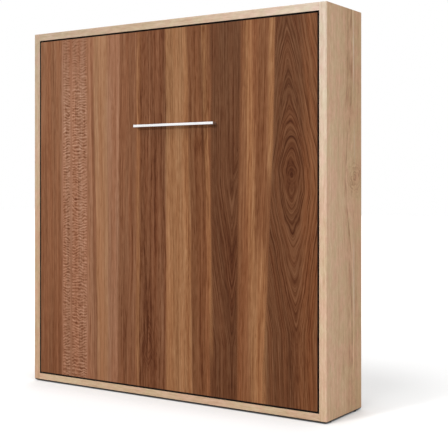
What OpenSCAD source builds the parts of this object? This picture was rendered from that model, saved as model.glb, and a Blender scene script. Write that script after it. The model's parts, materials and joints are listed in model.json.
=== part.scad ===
// Vertical wall bed: a cabinet with a bed that folds down about two side pivots,
// held by a gas spring on each side and standing on a fold-out foot leg.
// Millimetres. +Z is up, the front faces -Y, the origin is under the middle of the whole depth.

/* [Mattress] */
// Mattress width
mattress_w = 1930; // [1400:5:2000]
// Mattress length
mattress_l = 2032; // [1880:1:2100]
// Mattress thickness
mattress_t = 200; // [150:5:230]
// Corner radius of the mattress, seen from above
mattress_r = 60; // [20:5:100]
// Gap from the mattress edge to the outer face of the bed rail
mattress_side_gap = 1; // [0.5:0.5:6]
// Gap between the mattress and what it lies on
soft_gap = 0.3; // [0.2:0.1:1]
// Width of an elastic strap
strap_w = 40; // [25:5:60]
// Thickness of an elastic strap
strap_t = 2.5; // [1.5:0.5:3]
// Height of the lower strap above the mattress end
strap_low = 620; // [500:10:800]
// Height of the upper strap above the mattress end
strap_high = 1420; // [1200:10:1500]

/* [Cabinet] */
// Thickness of the cabinet sides
side_t = 44; // [30:1:60]
// Thickness of the top and bottom boards
board_t = 44; // [30:1:60]
// Space between the bed rail and the cabinet side
side_space = 32; // [32:1:44]
// Height of the glides
glide_h = 6; // [3:1:12]
// Radius of a glide
glide_r = 18; // [10:1:20]
// Thickness of the back rails
back_t = 22; // [16:1:28]
// Gap between the swinging mattress corner and the back rails
swing_gap = 14; // [8:1:40]
// Height of the upper back rail
upper_rail_h = 140; // [110:5:200]
// Height of the lower back rail
lower_rail_h = 180; // [100:5:200]
// Thickness of the headboard
headboard_t = 18; // [16:1:25]
// Height of the headboard
headboard_h = 430; // [250:10:600]
// Gap from the open mattress up to the headboard
headboard_rise = 50; // [30:5:100]
// Gap from the headboard to the back rails
headboard_gap = 35; // [20:1:36]
// Radius of a wood dowel
dowel_r = 5; // [4:0.5:6]
// Length of a wood dowel
dowel_l = 60; // [40:5:70]
// Distance from a board edge to its first dowel
dowel_edge = 45; // [30:5:60]
// Radius of a cam lock
cam_r = 7.5; // [6:0.5:9]
// Depth of a cam lock
cam_h = 12.5; // [10:0.5:16]
// Distance from the end of a board to the cam centre
cam_inset = 34; // [24:1:40]
// Radius of a cam bolt
cam_bolt_r = 3.5; // [3:0.5:4]
// Radius of the wall fixing holes in the upper back rail
wall_hole_r = 4.5; // [3:0.5:6]
// Spacing of the wall fixing holes across the cabinet
wall_hole_dx = 1600; // [1000:10:1700]
// Spacing of the wall fixing holes up the rail
wall_hole_dz = 80; // [60:5:100]

/* [Front] */
// Thickness of the front panel
panel_t = 18; // [16:1:22]
// Gap round the front panel
panel_gap = 8; // [8:0.5:12]
// Front panel below the mattress end
panel_low = 37; // [34:1:60]
// Front panel above the mattress end
panel_high = 21; // [20:1:40]
// Thickness of the seal strips in the gap round the front panel
seal_t = 1; // [0.5:0.5:2]
// Depth of the seal strips above and below the front panel
seal_d = 40; // [20:5:40]
// Length of the handle
handle_l = 565; // [200:5:700]
// Side of the handle's square section
handle_s = 14; // [8:1:20]
// How far the handle stands out from the panel
handle_out = 32; // [28:1:60]
// Handle centre to the right of the panel centre
handle_x = 67; // [-300:1:300]
// Height of the handle centre
handle_z = 1590; // [900:1:1800]

/* [Bed frame] */
// Width of the rail tubes
rail_w = 30; // [25:1:40]
// Depth of the rail tubes
rail_d = 60; // [60:1:80]
// Wall of the rail tubes
rail_wall = 2.5; // [2:0.5:4]
// Distance from the ends of the side rails to the ends of the panel
rail_end = 8; // [6:1:16]
// Number of slats on each side
slat_n = 14; // [8:1:20]
// Width of a slat
slat_w = 68; // [40:1:72]
// Thickness of a slat
slat_t = 8; // [6:1:12]
// Height of the slat holders under the slats
holder_h = 6; // [4:1:12]
// How far a slat reaches into its holder
holder_grip = 22; // [12:1:26]
// Distance from the mattress ends to the first and last slats
slat_end = 35; // [20:5:100]
// Length of a panel bracket's flanges
bracket_l = 40; // [30:1:45]
// Thickness of the brackets
bracket_t = 3; // [2:0.5:4]
// Number of panel brackets on each side rail
bracket_n = 5; // [3:1:7]

/* [Bed pivot] */
// Pivot distance behind the front face
pivot_y = 45; // [40:1:55]
// Pivot height above the floor
pivot_z = 320; // [300:1:340]
// Radius of the pivot pins
pin_r = 10; // [7:0.5:12]
// Running gap round every pin and rod
fit_gap = 0.05; // [0.02:0.01:0.1]
// Wall of the pivot bushing
bushing_wall = 3; // [2:0.5:4]
// Thickness of the hinge plates
plate_t = 4; // [3:0.5:5]
// Side gap between parts that move past each other
side_gap = 0.3; // [0.2:0.1:1]

/* [Gas springs] */
// Upper stud behind the pivot
spring_top_y = 50; // [40:1:70]
// Upper stud above the pivot
spring_top_z = 600; // [580:5:700]
// Lower stud behind the pivot, and below it with the bed closed
spring_arm = 100; // [80:1:110]
// Outer radius of the gas cylinder
cylinder_r = 10; // [9:0.5:11]
// Wall of the gas cylinder
cylinder_wall = 2; // [1.5:0.5:3]
// Length of the gas cylinder
cylinder_l = 400; // [360:5:410]
// Radius of the gas spring's rod
rod_r = 5; // [4:0.5:6]
// Length of the gas spring's end fittings, from stud to tube
fitting_l = 26; // [24:1:36]
// Thickness of the eyes at the ends of the gas spring
eye_t = 8; // [6:1:10]
// Radius of the gas spring studs
stud_r = 5; // [4:0.5:6]

/* [Foot leg] */
// Leg stud below the top edge of the front panel
leg_stud_low = 13; // [13:1:24]
// Leg stud behind the front face
leg_stud_y = 60; // [50:1:64]
// Width of the leg arms
leg_w = 24; // [20:1:28]
// Thickness of the leg arms
leg_t = 8; // [5:1:8]
// Gap between the open leg and the edge of the front panel
leg_clear = 7; // [4:1:12]
// Radius of the leg's cross tube
leg_tube_r = 12; // [10:1:14]
// Wall of the rubber feet on the cross tube
foot_wall = 3; // [2:0.5:5]
// Length of a rubber foot
foot_l = 90; // [40:5:160]
// Gap between the open leg and the floor
floor_gap = 1.5; // [0.5:0.5:6]
// Radius of the leg studs
leg_stud_r = 6; // [5:0.5:8]
// Angle through which the leg swings out
leg_swing = 210; // [205:1:215]

/* [Catches] */
// Height of the lower pair of magnet catches
catch_low = 900; // [700:10:1000]
// Height of the upper pair of magnet catches
catch_high = 1850; // [1500:10:1900]
// Length of a magnet catch
catch_l = 60; // [40:5:80]
// Width of a magnet catch
catch_w = 15; // [12:1:16]
// Depth of a magnet catch
catch_d = 20; // [14:1:26]
// Thickness of a striker plate
striker_t = 1.5; // [1:0.5:2]

/* [Hidden] */

// Smoothness of round parts
$fn = 48;
hull_fn = 32;
// A cut runs this far past the face it opens, and a shank this far into its head
over = 1;

// Colours
oak = [0.80, 0.66, 0.50];
walnut = [0.42, 0.28, 0.20];
birch = [0.85, 0.74, 0.58];
bright_steel = [0.90, 0.90, 0.90];
zinc = [0.70, 0.71, 0.72];
frame_grey = [0.45, 0.46, 0.48];
black = [0.08, 0.08, 0.08];
ticking = [0.93, 0.92, 0.89];
webbing = [0.30, 0.31, 0.33];
bronze = [0.70, 0.50, 0.28];

// Places across the bed, measured from its middle
rail_x1 = mattress_w / 2 + mattress_side_gap;
rail_x0 = rail_x1 - rail_w;
inner_x = rail_x1 + side_space;
cab_w = 2 * (inner_x + side_t);
panel_w = 2 * (inner_x - panel_gap);

// Heights, measured from the floor with the bed closed
floor_board_z = glide_h + board_t;
panel_z0 = floor_board_z + panel_gap;
mattress_z0 = panel_z0 + panel_low;
mattress_z1 = mattress_z0 + mattress_l;
panel_z1 = mattress_z1 + panel_high;
ceiling_z = panel_z1 + panel_gap;
cab_h = ceiling_z + board_t;
rail_z0 = panel_z0 + rail_end;
rail_z1 = panel_z1 - rail_end;

// Depths, measured back from the front face with the bed closed
rail_y1 = panel_t + rail_d;
slat_y0 = rail_y1 + holder_h;
slat_y1 = slat_y0 + slat_t;
mattress_y0 = slat_y1 + soft_gap;
mattress_y1 = mattress_y0 + mattress_t;
swing_r = norm([mattress_y1 - pivot_y, pivot_z - mattress_z0]);
back_y0 = pivot_y + swing_r + swing_gap;
cab_d = back_y0 + back_t;
headboard_y1 = back_y0 - headboard_gap;
headboard_y0 = headboard_y1 - headboard_t;
headboard_z0 = pivot_z + mattress_y1 - pivot_y + headboard_rise;
// The front face's place, so that the handle and the cabinet share the middle of the depth
front_y = -(cab_d - handle_out) / 2;

// Dowels, as depth and height, and cam locks, as depth
joint_ys = [dowel_edge, cab_d / 2, cab_d - dowel_edge];
cam_ys = [cab_d / 4, cab_d * 3 / 4];
board_zs = [floor_board_z - board_t / 2, cab_h - board_t / 2];
back_yc = back_y0 + back_t / 2;
headboard_yc = headboard_y0 + headboard_t / 2;
function pair_up(y, z0, h) = [[y, z0 + h / 4], [y, z0 + h * 3 / 4]];
floor_spots = [for (y = joint_ys) [y, board_zs[0]]];
ceiling_spots = [for (y = joint_ys) [y, board_zs[1]]];
upper_spots = pair_up(back_yc, ceiling_z - upper_rail_h, upper_rail_h);
lower_spots = pair_up(back_yc, floor_board_z, lower_rail_h);
headboard_spots = pair_up(headboard_yc, headboard_z0, headboard_h);
all_spots = concat(floor_spots, ceiling_spots, upper_spots, lower_spots, headboard_spots);
cam_bolt_grip = 14;

// Glides stand under the sides and the bottom board
glide_xs = [-cab_w / 2 + side_t / 2, 0, cab_w / 2 - side_t / 2];
glide_inset = 60;
glide_pin_r = 2;
glide_pin_h = 14;

// Pivot hardware
plate_x = inner_x - plate_t;
hinge_x1 = rail_x1 + plate_t;
pin_collar_wall = 6;
bushing_r = pin_r + fit_gap + bushing_wall;
bushing_flange = 3;
flange_wall = 4;
pin_x0 = rail_x1 - bushing_flange * 2;
cabinet_plate_w = 56;
cabinet_plate_h = 110;
screw_head_r = 4.5;
screw_head_h = 2;
screw_r = 2.5;
cabinet_screw_dy = 18;
cabinet_screw_dz = 44;

// Gas springs
spring_clear = 1;
spring_x = inner_x - plate_t - cylinder_r - spring_clear;
spring_top = [pivot_y + spring_top_y, pivot_z + spring_top_z];
spring_low = [pivot_y + spring_arm, pivot_z - spring_arm];
spring_l = norm(spring_low - spring_top);
spring_lean = atan2(spring_low[0] - spring_top[0], spring_top[1] - spring_low[1]);
eye_wall = 5;
eye_r = stud_r + eye_wall;
piston_l = 16;
guide_l = 12;
cap_l = 10;
chamber_r = cylinder_r - cylinder_wall;
spring_plate_w = 80;
spring_plate_h = 40;
spring_screw_dy = 28;
clip_t = 2.4;
clip_wall = 3;
spring_collar_wall = 3;

// Hinge plate on the bed
hinge_round = 26;
hinge_tip = 16;
hinge_heel = [pivot_y + hinge_round / 2, pivot_z - hinge_round / 2];
hinge_foot_z = 64;
hinge_screw_y = 20;
hinge_screw_z = 50;

// Foot leg, drawn as it stands open, in the closed bed's own directions
leg_stud_z = panel_z1 - leg_stud_low;
leg_shift = leg_stud_low + leg_clear + leg_w / 2;
foot_r = leg_tube_r + foot_wall;
leg_reach = pivot_z + leg_stud_y - pivot_y - foot_r - floor_gap;
leg_space = 3;
leg_x0 = hinge_x1 + leg_space;
leg_x1 = leg_x0 + leg_t;
leg_nut_t = 6;
leg_nut_r = 9;
leg_collar_r = 9;
leg_bracket_h = 70;
foot_inset = 170;
foot_x = inner_x - foot_inset;

// Catches and bumpers
catch_x0 = inner_x - catch_w;
catch_zs = [catch_low, catch_high];
catch_y0 = panel_t + striker_t + side_gap;
striker_trim = 4;
striker_edge = 1;
striker_w = catch_w + panel_gap - striker_trim;
striker_x1 = panel_w / 2 - striker_edge;
bumper_below = 90;
bumper_l = 30;
bumper_d = 12;

// Seal strips: those at the sides end before the pivot plates and the back of the panel
seal_y0 = 1;
seal_side_y1 = min(panel_t, pivot_y - cabinet_plate_w / 2) - seal_y0;

// Slats, their holders and the brackets
slat_z0 = mattress_z0 + slat_end;
slat_pitch = (mattress_l - 2 * slat_end - slat_w) / (slat_n - 1);
slat_zs = [for (i = [0:slat_n - 1]) slat_z0 + i * slat_pitch];
slat_x0 = 2;
slat_x1 = rail_x0 + holder_grip;
holder_wall = 4;
holder_edge = 2;
bracket_end = 120;
bracket_pitch = (rail_z1 - rail_z0 - 2 * bracket_end - bracket_l) / (bracket_n - 1);
bracket_zs = [for (i = [0:bracket_n - 1]) rail_z0 + bracket_end + i * bracket_pitch];
bracket_head_r = 4;
bracket_head_h = 2;
cap_t = 2;

// Mattress stops carry the end of the standing mattress
stop_xs = [-mattress_w / 4, mattress_w / 4];
stop_w = 120;
stop_depth = 90;

// Straps and their buckles
strap_zs = [mattress_z0 + strap_low, mattress_z0 + strap_high];
strap_y0 = mattress_y1 + soft_gap;
strap_foot = 16;
buckle_w = 60;
buckle_t = 5;

// Handle
handle_x0 = handle_x - handle_l / 2;
handle_x1 = handle_x + handle_l / 2;
handle_screw_r = 2;
handle_screw_l = 14;

// Puts children in the front face's frame: X across, Y back from the face, Z up
module from_front() { translate([0, front_y, 0]) children(); }

// Draws children on the right side, or mirrored on the left
module on_side(s) { if (s < 0) mirror([1, 0, 0]) children(); else children(); }

// Draws children on both sides
module both_sides() { for (s = [-1, 1]) on_side(s) children(); }

// A box between two corners
module block(low, high) { translate(low) cube(high - low); }

// A round bar along X between two places, at a depth and height
module bar_x(x0, x1, y, z, r) { translate([x0, y, z]) rotate([0, 90, 0]) cylinder(h = x1 - x0, r = r); }

// A round bar along Y between two depths
module bar_y(y0, y1, x, z, r) { translate([x, y0, z]) rotate([-90, 0, 0]) cylinder(h = y1 - y0, r = r); }

// Dowels or their holes at the ends of the boards
module dowel_set(spots, r, l) {
    both_sides() for (p = spots) bar_x(inner_x - l / 2, inner_x + l / 2, p[0], p[1], r);
}

// Cam bolts or their holes
module cam_bolt_set(zs, r, grip) {
    both_sides() for (y = cam_ys, z = zs)
        bar_x(inner_x - cam_inset + cam_r, inner_x + grip, y, z, r);
}

// Cam locks or their pockets, let in from the inner face of each board
module cam_set(indexes, r, h) {
    both_sides() for (y = cam_ys, i = indexes)
        translate([inner_x - cam_inset, y, i == 0 ? floor_board_z - h : ceiling_z])
            cylinder(h = h, r = r);
}

// Glide pins or their holes
module glide_spots() {
    for (x = glide_xs, y = [glide_inset, cab_d - glide_inset]) translate([x, y, 0]) children();
}

module glide_holes() {
    glide_spots() cylinder(h = glide_h + glide_pin_h + fit_gap, r = glide_pin_r + fit_gap);
}

// One cabinet side
module cabinet_side() {
    difference() {
        block([inner_x, 0, glide_h], [inner_x + side_t, cab_d, cab_h]);
        dowel_set(all_spots, dowel_r + fit_gap, dowel_l);
        cam_bolt_set(board_zs, cam_bolt_r + fit_gap, cam_bolt_grip);
        glide_holes();
    }
}

module side_left() { color(oak) from_front() on_side(-1) cabinet_side(); }
module side_right() { color(oak) from_front() on_side(1) cabinet_side(); }

// A board between the sides, with its dowel, cam and glide holes
module level_board(i, spots) {
    difference() {
        block([-inner_x, 0, board_zs[i] - board_t / 2], [inner_x, cab_d, board_zs[i] + board_t / 2]);
        dowel_set(spots, dowel_r + fit_gap, dowel_l);
        cam_bolt_set([board_zs[i]], cam_bolt_r + fit_gap, cam_bolt_grip);
        cam_set([i], cam_r + fit_gap, cam_h);
        if (i == 0) glide_holes();
    }
}

module bottom_board() { color(oak) from_front() level_board(0, floor_spots); }
module top_board() { color(oak) from_front() level_board(1, ceiling_spots); }

// The rail that is screwed to the wall through its four holes
module upper_back_rail() {
    color(oak) from_front() difference() {
        block([-inner_x, back_y0, ceiling_z - upper_rail_h], [inner_x, cab_d, ceiling_z]);
        dowel_set(upper_spots, dowel_r + fit_gap, dowel_l);
        for (x = [-1, 1] * wall_hole_dx / 2, z = [-1, 1] * wall_hole_dz / 2)
            bar_y(back_y0 - over, cab_d + over, x, ceiling_z - upper_rail_h / 2 + z, wall_hole_r);
    }
}

module lower_back_rail() {
    color(oak) from_front() difference() {
        block([-inner_x, back_y0, floor_board_z], [inner_x, cab_d, floor_board_z + lower_rail_h]);
        dowel_set(lower_spots, dowel_r + fit_gap, dowel_l);
    }
}

// The board behind the pillows when the bed is open
module headboard() {
    color(oak) from_front() difference() {
        block([-inner_x, headboard_y0, headboard_z0], [inner_x, headboard_y1, headboard_z0 + headboard_h]);
        dowel_set(headboard_spots, dowel_r + fit_gap, dowel_l);
    }
}

module dowels() { color(birch) from_front() dowel_set(all_spots, dowel_r, dowel_l - 2 * fit_gap); }
module cam_locks() { color(zinc) from_front() cam_set([0, 1], cam_r, cam_h); }
module cam_bolts() { color(zinc) from_front() cam_bolt_set(board_zs, cam_bolt_r, cam_bolt_grip); }

module glides() {
    color(black) from_front() glide_spots() {
        cylinder(h = glide_h, r = glide_r);
        cylinder(h = glide_h + glide_pin_h, r = glide_pin_r);
    }
}

// Screw places on the cabinet's pivot plate, as depth and height
cabinet_screws = [
    for (y = [-1, 1] * cabinet_screw_dy, z = [-1, 1] * cabinet_screw_dz) [pivot_y + y, pivot_z + z]
];
spring_screws = [for (y = [-1, 1] * spring_screw_dy) [spring_top[0] + y, spring_top[1]]];

// A plate on the cabinet side with a stud that points in and a collar that keeps the side gap
module stud_plate(place, w, h, r, x0, collar_r, collar_x, screws) {
    difference() {
        union() {
            block([plate_x, place[0] - w / 2, place[1] - h / 2],
                [inner_x, place[0] + w / 2, place[1] + h / 2]);
            bar_x(collar_x, plate_x, place[0], place[1], collar_r);
            bar_x(x0, plate_x, place[0], place[1], r);
        }
        for (p = screws) bar_x(plate_x - over, inner_x + over, p[0], p[1], screw_r + fit_gap);
    }
}

module pivot_plate() {
    stud_plate([pivot_y, pivot_z], cabinet_plate_w, cabinet_plate_h, pin_r, pin_x0,
        pin_r + pin_collar_wall, hinge_x1 + bushing_flange + side_gap, cabinet_screws);
}

module cabinet_pivot_plate_left() { color(zinc) from_front() on_side(-1) pivot_plate(); }
module cabinet_pivot_plate_right() { color(zinc) from_front() on_side(1) pivot_plate(); }

// Pan-head screws through a plate into the cabinet side, heads on the plate
module side_screws(spots) {
    both_sides() for (p = spots) {
        bar_x(plate_x - screw_head_h, plate_x, p[0], p[1], screw_head_r);
        bar_x(plate_x - over, inner_x, p[0], p[1], screw_r);
    }
}

module cabinet_plate_screws() { color(zinc) from_front() side_screws(cabinet_screws); }

// The gas spring's upper bracket on the cabinet side
module spring_bracket() {
    stud_plate(spring_top, spring_plate_w, spring_plate_h, stud_r,
        spring_x - eye_t / 2 - side_gap - clip_t, stud_r + spring_collar_wall,
        spring_x + eye_t / 2 + side_gap, spring_screws);
}

module spring_bracket_left() { color(zinc) from_front() on_side(-1) spring_bracket(); }
module spring_bracket_right() { color(zinc) from_front() on_side(1) spring_bracket(); }
module spring_bracket_screws() { color(zinc) from_front() side_screws(spring_screws); }

// Clips that keep the gas cylinders on their upper studs
module spring_clips() {
    clip_x1 = spring_x - eye_t / 2 - side_gap;
    color(zinc) from_front() both_sides() difference() {
        bar_x(clip_x1 - clip_t, clip_x1, spring_top[0], spring_top[1], stud_r + clip_wall);
        bar_x(clip_x1 - clip_t - over, clip_x1 + over, spring_top[0], spring_top[1],
            stud_r + fit_gap);
    }
}

// Magnet catches on the cabinet sides, behind the edge of the front panel
module magnet_catches() {
    color(black) from_front() both_sides() for (z = catch_zs)
        block([catch_x0, catch_y0, z - catch_l / 2], [inner_x, catch_y0 + catch_d, z + catch_l / 2]);
}

// Rubber bumpers that the closed front panel rests on
module stop_bumpers() {
    color(black) from_front() both_sides() for (z = catch_zs)
        block([catch_x0, panel_t + side_gap, z - bumper_below - bumper_l / 2],
            [inner_x, panel_t + side_gap + bumper_d, z - bumper_below + bumper_l / 2]);
}

// Thin black strips on the cabinet's inner faces, that darken the gap round the front panel
module gap_seals() {
    color(black) from_front() {
        both_sides() block([inner_x - seal_t, seal_y0, floor_board_z + seal_t + side_gap],
            [inner_x, seal_side_y1, ceiling_z - seal_t - side_gap]);
        for (z = [floor_board_z, ceiling_z - seal_t])
            block([-inner_x, seal_y0, z], [inner_x, seal_y0 + seal_d, z + seal_t]);
    }
}

// The closed front, with pilot holes for the handle screws
module front_panel() {
    color(walnut) from_front() difference() {
        block([-panel_w / 2, 0, panel_z0], [panel_w / 2, panel_t, panel_z1]);
        handle_screw_spots() bar_y(-over, panel_t + over, 0, 0, handle_screw_r + fit_gap);
    }
}

module handle_screw_spots() {
    for (x = [handle_x0 + handle_s / 2, handle_x1 - handle_s / 2]) translate([x, 0, handle_z]) children();
}

// The bar of the handle, between its two posts
module handle_bar() {
    color(bright_steel) from_front()
        block([handle_x0 + handle_s, -handle_out, handle_z - handle_s / 2],
            [handle_x1 - handle_s, handle_s - handle_out, handle_z + handle_s / 2]);
}

// A post of the handle, threaded for the screw from behind the panel
module handle_post(x) {
    color(bright_steel) from_front() difference() {
        block([x, -handle_out, handle_z - handle_s / 2], [x + handle_s, 0, handle_z + handle_s / 2]);
        bar_y(-handle_screw_l, over, x + handle_s / 2, handle_z, handle_screw_r);
    }
}

module handle_post_left() { handle_post(handle_x0); }
module handle_post_right() { handle_post(handle_x1 - handle_s); }

module handle_screws() {
    color(zinc) from_front() handle_screw_spots() {
        bar_y(-handle_screw_l, panel_t, 0, 0, handle_screw_r);
        bar_y(panel_t, panel_t + screw_head_h, 0, 0, screw_head_r);
    }
}

// A rectangular tube along Z, open at both ends
module tube_z(x0, x1, z0, z1) {
    difference() {
        block([x0, panel_t, z0], [x1, rail_y1, z1]);
        block([x0 + rail_wall, panel_t + rail_wall, z0 - over],
            [x1 - rail_wall, rail_y1 - rail_wall, z1 + over]);
    }
}

// A rectangular tube along X, open at both ends
module tube_x(x0, x1, z0, z1) {
    difference() {
        block([x0, panel_t, z0], [x1, rail_y1, z1]);
        block([x0 - over, panel_t + rail_wall, z0 + rail_wall],
            [x1 + over, rail_y1 - rail_wall, z1 - rail_wall]);
    }
}

// A side rail, with the hole that the pivot bushing sits in
module side_rail() {
    difference() {
        tube_z(rail_x0, rail_x1, rail_z0, rail_z1);
        bar_x(rail_x1 - rail_wall - over, rail_x1 + over, pivot_y, pivot_z, bushing_r);
    }
}

module bed_rail_left() { color(frame_grey) from_front() on_side(-1) side_rail(); }
module bed_rail_right() { color(frame_grey) from_front() on_side(1) side_rail(); }
module head_rail() { color(frame_grey) from_front() tube_x(-rail_x0, rail_x0, rail_z0, rail_z0 + rail_w); }
module foot_rail() { color(frame_grey) from_front() tube_x(-rail_x0, rail_x0, rail_z1 - rail_w, rail_z1); }

module centre_rail() {
    color(frame_grey) from_front() tube_z(-rail_w / 2, rail_w / 2, rail_z0 + rail_w, rail_z1 - rail_w);
}

// Plastic caps that close the ends of the side rails
module rail_end_caps() {
    color(black) from_front() both_sides() for (z = [rail_z0 - cap_t, rail_z1])
        block([rail_x0, panel_t, z], [rail_x1, rail_y1, z + cap_t]);
}

// Places of the angle brackets that hold the panel to the rails
module bracket_spots() {
    both_sides() for (z = bracket_zs) translate([rail_x0, panel_t, z]) children();
}

module panel_brackets() {
    color(zinc) from_front() bracket_spots() difference() {
        union() {
            block([-bracket_l, 0, 0], [0, bracket_t, bracket_l]);
            block([-bracket_t, 0, 0], [0, bracket_l, bracket_l]);
        }
        translate([-bracket_l / 2 - bracket_t, 0, bracket_l / 2])
            bar_y(-over, bracket_t + over, 0, 0, screw_r + fit_gap);
    }
}

module panel_screws() {
    color(zinc) from_front() bracket_spots() translate([-bracket_l / 2 - bracket_t, 0, bracket_l / 2]) {
        bar_y(bracket_t, bracket_t + bracket_head_h, 0, 0, bracket_head_r);
        bar_y(0, bracket_t + over, 0, 0, screw_r);
    }
}

// One slat holder: a cap under and round the slat's end, open towards the slat
module slat_holder(x_low, x_high, wall_low, wall_high) {
    for (z = slat_zs) difference() {
        block([x_low, rail_y1, z - holder_edge], [x_high, slat_y1, z + slat_w + holder_edge]);
        block([x_low + (wall_low ? holder_wall : -over), slat_y0, z],
            [x_high - (wall_high ? holder_wall : -over), slat_y1 + over, z + slat_w]);
    }
}

module slat_holders_outer() {
    color(black) from_front() both_sides() slat_holder(rail_x0, slat_x1 + holder_wall, false, true);
}

module slat_holders_centre() {
    color(black) from_front() slat_holder(-rail_w / 2, rail_w / 2, false, false);
}

// One side's slats, from the centre rail to the side rail
module slat_row() {
    for (z = slat_zs) block([slat_x0, slat_y0, z], [slat_x1, slat_y1, z + slat_w]);
}

module slats_left() { color(birch) from_front() on_side(-1) slat_row(); }
module slats_right() { color(birch) from_front() on_side(1) slat_row(); }

// Screw places on the bed's hinge plate, as depth and height
hinge_screws = [
    for (y = [-1, 1] * hinge_screw_y, z = [-1, 1] * hinge_screw_z) [panel_t + rail_d / 2 + y, pivot_z + z]
];

// The bed's hinge plate: it carries the bushing and reaches out to the gas spring's lower end
module hinge_plate() {
    difference() {
        union() {
            block([rail_x1, panel_t, pivot_z - hinge_foot_z], [hinge_x1, rail_y1, pivot_z + hinge_foot_z]);
            hull() {
                bar_x(rail_x1, hinge_x1, hinge_heel[0], hinge_heel[1], hinge_round, $fn = hull_fn);
                bar_x(rail_x1, hinge_x1, spring_low[0], spring_low[1], hinge_tip, $fn = hull_fn);
            }
        }
        bar_x(rail_x1 - over, hinge_x1 + over, pivot_y, pivot_z, bushing_r);
        for (p = hinge_screws) bar_x(rail_x1 - over, hinge_x1 + over, p[0], p[1], screw_r + fit_gap);
    }
}

module bed_hinge_plate_left() { color(zinc) from_front() on_side(-1) hinge_plate(); }
module bed_hinge_plate_right() { color(zinc) from_front() on_side(1) hinge_plate(); }

module hinge_plate_screws() {
    color(zinc) from_front() both_sides() for (p = hinge_screws) {
        bar_x(hinge_x1, hinge_x1 + screw_head_h, p[0], p[1], screw_head_r);
        bar_x(rail_x1, hinge_x1 + over, p[0], p[1], screw_r);
    }
}

// Flanged bushings that the cabinet's pins turn in
module pivot_bushings() {
    color(bronze) from_front() both_sides() difference() {
        union() {
            bar_x(rail_x1 - rail_wall, hinge_x1, pivot_y, pivot_z, bushing_r);
            bar_x(hinge_x1, hinge_x1 + bushing_flange, pivot_y, pivot_z, bushing_r + flange_wall);
        }
        bar_x(rail_x1 - rail_wall - over, hinge_x1 + bushing_flange + over, pivot_y, pivot_z,
            pin_r + fit_gap);
    }
}

// The foot leg's bracket on the end of a side rail, with its stud and spacing collar
module leg_bracket() {
    block([rail_x1, panel_t, leg_stud_z - leg_bracket_h], [hinge_x1, rail_y1, rail_z1]);
    bar_x(rail_x1, leg_x0 - side_gap, leg_stud_y, leg_stud_z, leg_collar_r);
    bar_x(rail_x1, leg_x1 + side_gap + leg_nut_t, leg_stud_y, leg_stud_z, leg_stud_r);
}

module leg_bracket_left() { color(zinc) from_front() on_side(-1) leg_bracket(); }
module leg_bracket_right() { color(zinc) from_front() on_side(1) leg_bracket(); }

// Nuts that keep the leg arms on their studs
module leg_nuts() {
    color(zinc) from_front() both_sides() difference() {
        translate([leg_x1 + side_gap, leg_stud_y, leg_stud_z]) rotate([0, 90, 0])
            cylinder(h = leg_nut_t, r = leg_nut_r, $fn = 6);
        bar_x(leg_x1, leg_x1 + side_gap + leg_nut_t + over, leg_stud_y, leg_stud_z,
            leg_stud_r + fit_gap);
    }
}

// Angles on the head rail that carry the end of the standing mattress
module mattress_stops() {
    stop_z1 = mattress_z0 - soft_gap;
    color(zinc) from_front() for (x = stop_xs) {
        block([x - stop_w / 2, rail_y1, rail_z0], [x + stop_w / 2, rail_y1 + bracket_t, stop_z1]);
        block([x - stop_w / 2, rail_y1, stop_z1 - bracket_t],
            [x + stop_w / 2, rail_y1 + stop_depth, stop_z1]);
    }
}

// Steel plates on the back of the front panel that the magnets hold
module striker_plates() {
    color(zinc) from_front() both_sides() for (z = catch_zs)
        block([striker_x1 - striker_w, panel_t, z - catch_l / 2],
            [striker_x1, panel_t + striker_t, z + catch_l / 2]);
}

// A mattress with rounded corners
module mattress() {
    color(ticking) from_front() hull()
        for (x = [-1, 1] * (mattress_w / 2 - mattress_r),
             z = [mattress_z0 + mattress_r, mattress_z1 - mattress_r])
            bar_y(mattress_y0, mattress_y1, x, z, mattress_r, $fn = hull_fn);
}

// Elastic straps across the mattress, fastened to the outer faces of the side rails
module mattress_straps() {
    color(webbing) from_front() for (z = strap_zs) {
        block([-rail_x1 - strap_t, strap_y0, z], [rail_x1 + strap_t, strap_y0 + strap_t, z + strap_w]);
        both_sides() block([rail_x1, rail_y1 - strap_foot, z],
            [rail_x1 + strap_t, strap_y0 + strap_t, z + strap_w]);
    }
}

// Buckles in the middle of the straps
module strap_buckles() {
    color(black) from_front() for (z = strap_zs)
        block([-buckle_w / 2, strap_y0 + strap_t, z - buckle_t],
            [buckle_w / 2, strap_y0 + strap_t + buckle_t, z + strap_w + buckle_t]);
}

// Puts children in the gas spring's frame: its upper stud at the origin, the spring along -Z
module spring_frame(s) {
    from_front() on_side(s) translate([spring_x, spring_top[0], spring_top[1]])
        rotate([spring_lean, 0, 0]) children();
}

// An eye round a stud, with a shank of the given length along -Z or +Z
module spring_eye(direction, bore) {
    difference() {
        union() {
            bar_x(-eye_t / 2, eye_t / 2, 0, 0, eye_r);
            mirror([0, 0, direction < 0 ? 1 : 0]) cylinder(h = fitting_l, r = eye_t / 2);
        }
        if (bore) bar_x(-eye_t / 2 - over, eye_t / 2 + over, 0, 0, stud_r + fit_gap);
    }
}

// The gas cylinder: a tube, closed at the eye, with a guide for the rod at its other end
module gas_cylinder() {
    spring_eye(-1, true);
    difference() {
        translate([0, 0, -fitting_l - cylinder_l]) cylinder(h = cylinder_l, r = cylinder_r);
        translate([0, 0, -fitting_l - cylinder_l + guide_l])
            cylinder(h = cylinder_l - guide_l - cap_l, r = chamber_r);
        translate([0, 0, -fitting_l - cylinder_l - over])
            cylinder(h = guide_l + 2 * over, r = rod_r + fit_gap);
    }
}

module gas_cylinder_left() { color(black) spring_frame(-1) gas_cylinder(); }
module gas_cylinder_right() { color(black) spring_frame(1) gas_cylinder(); }

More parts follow.
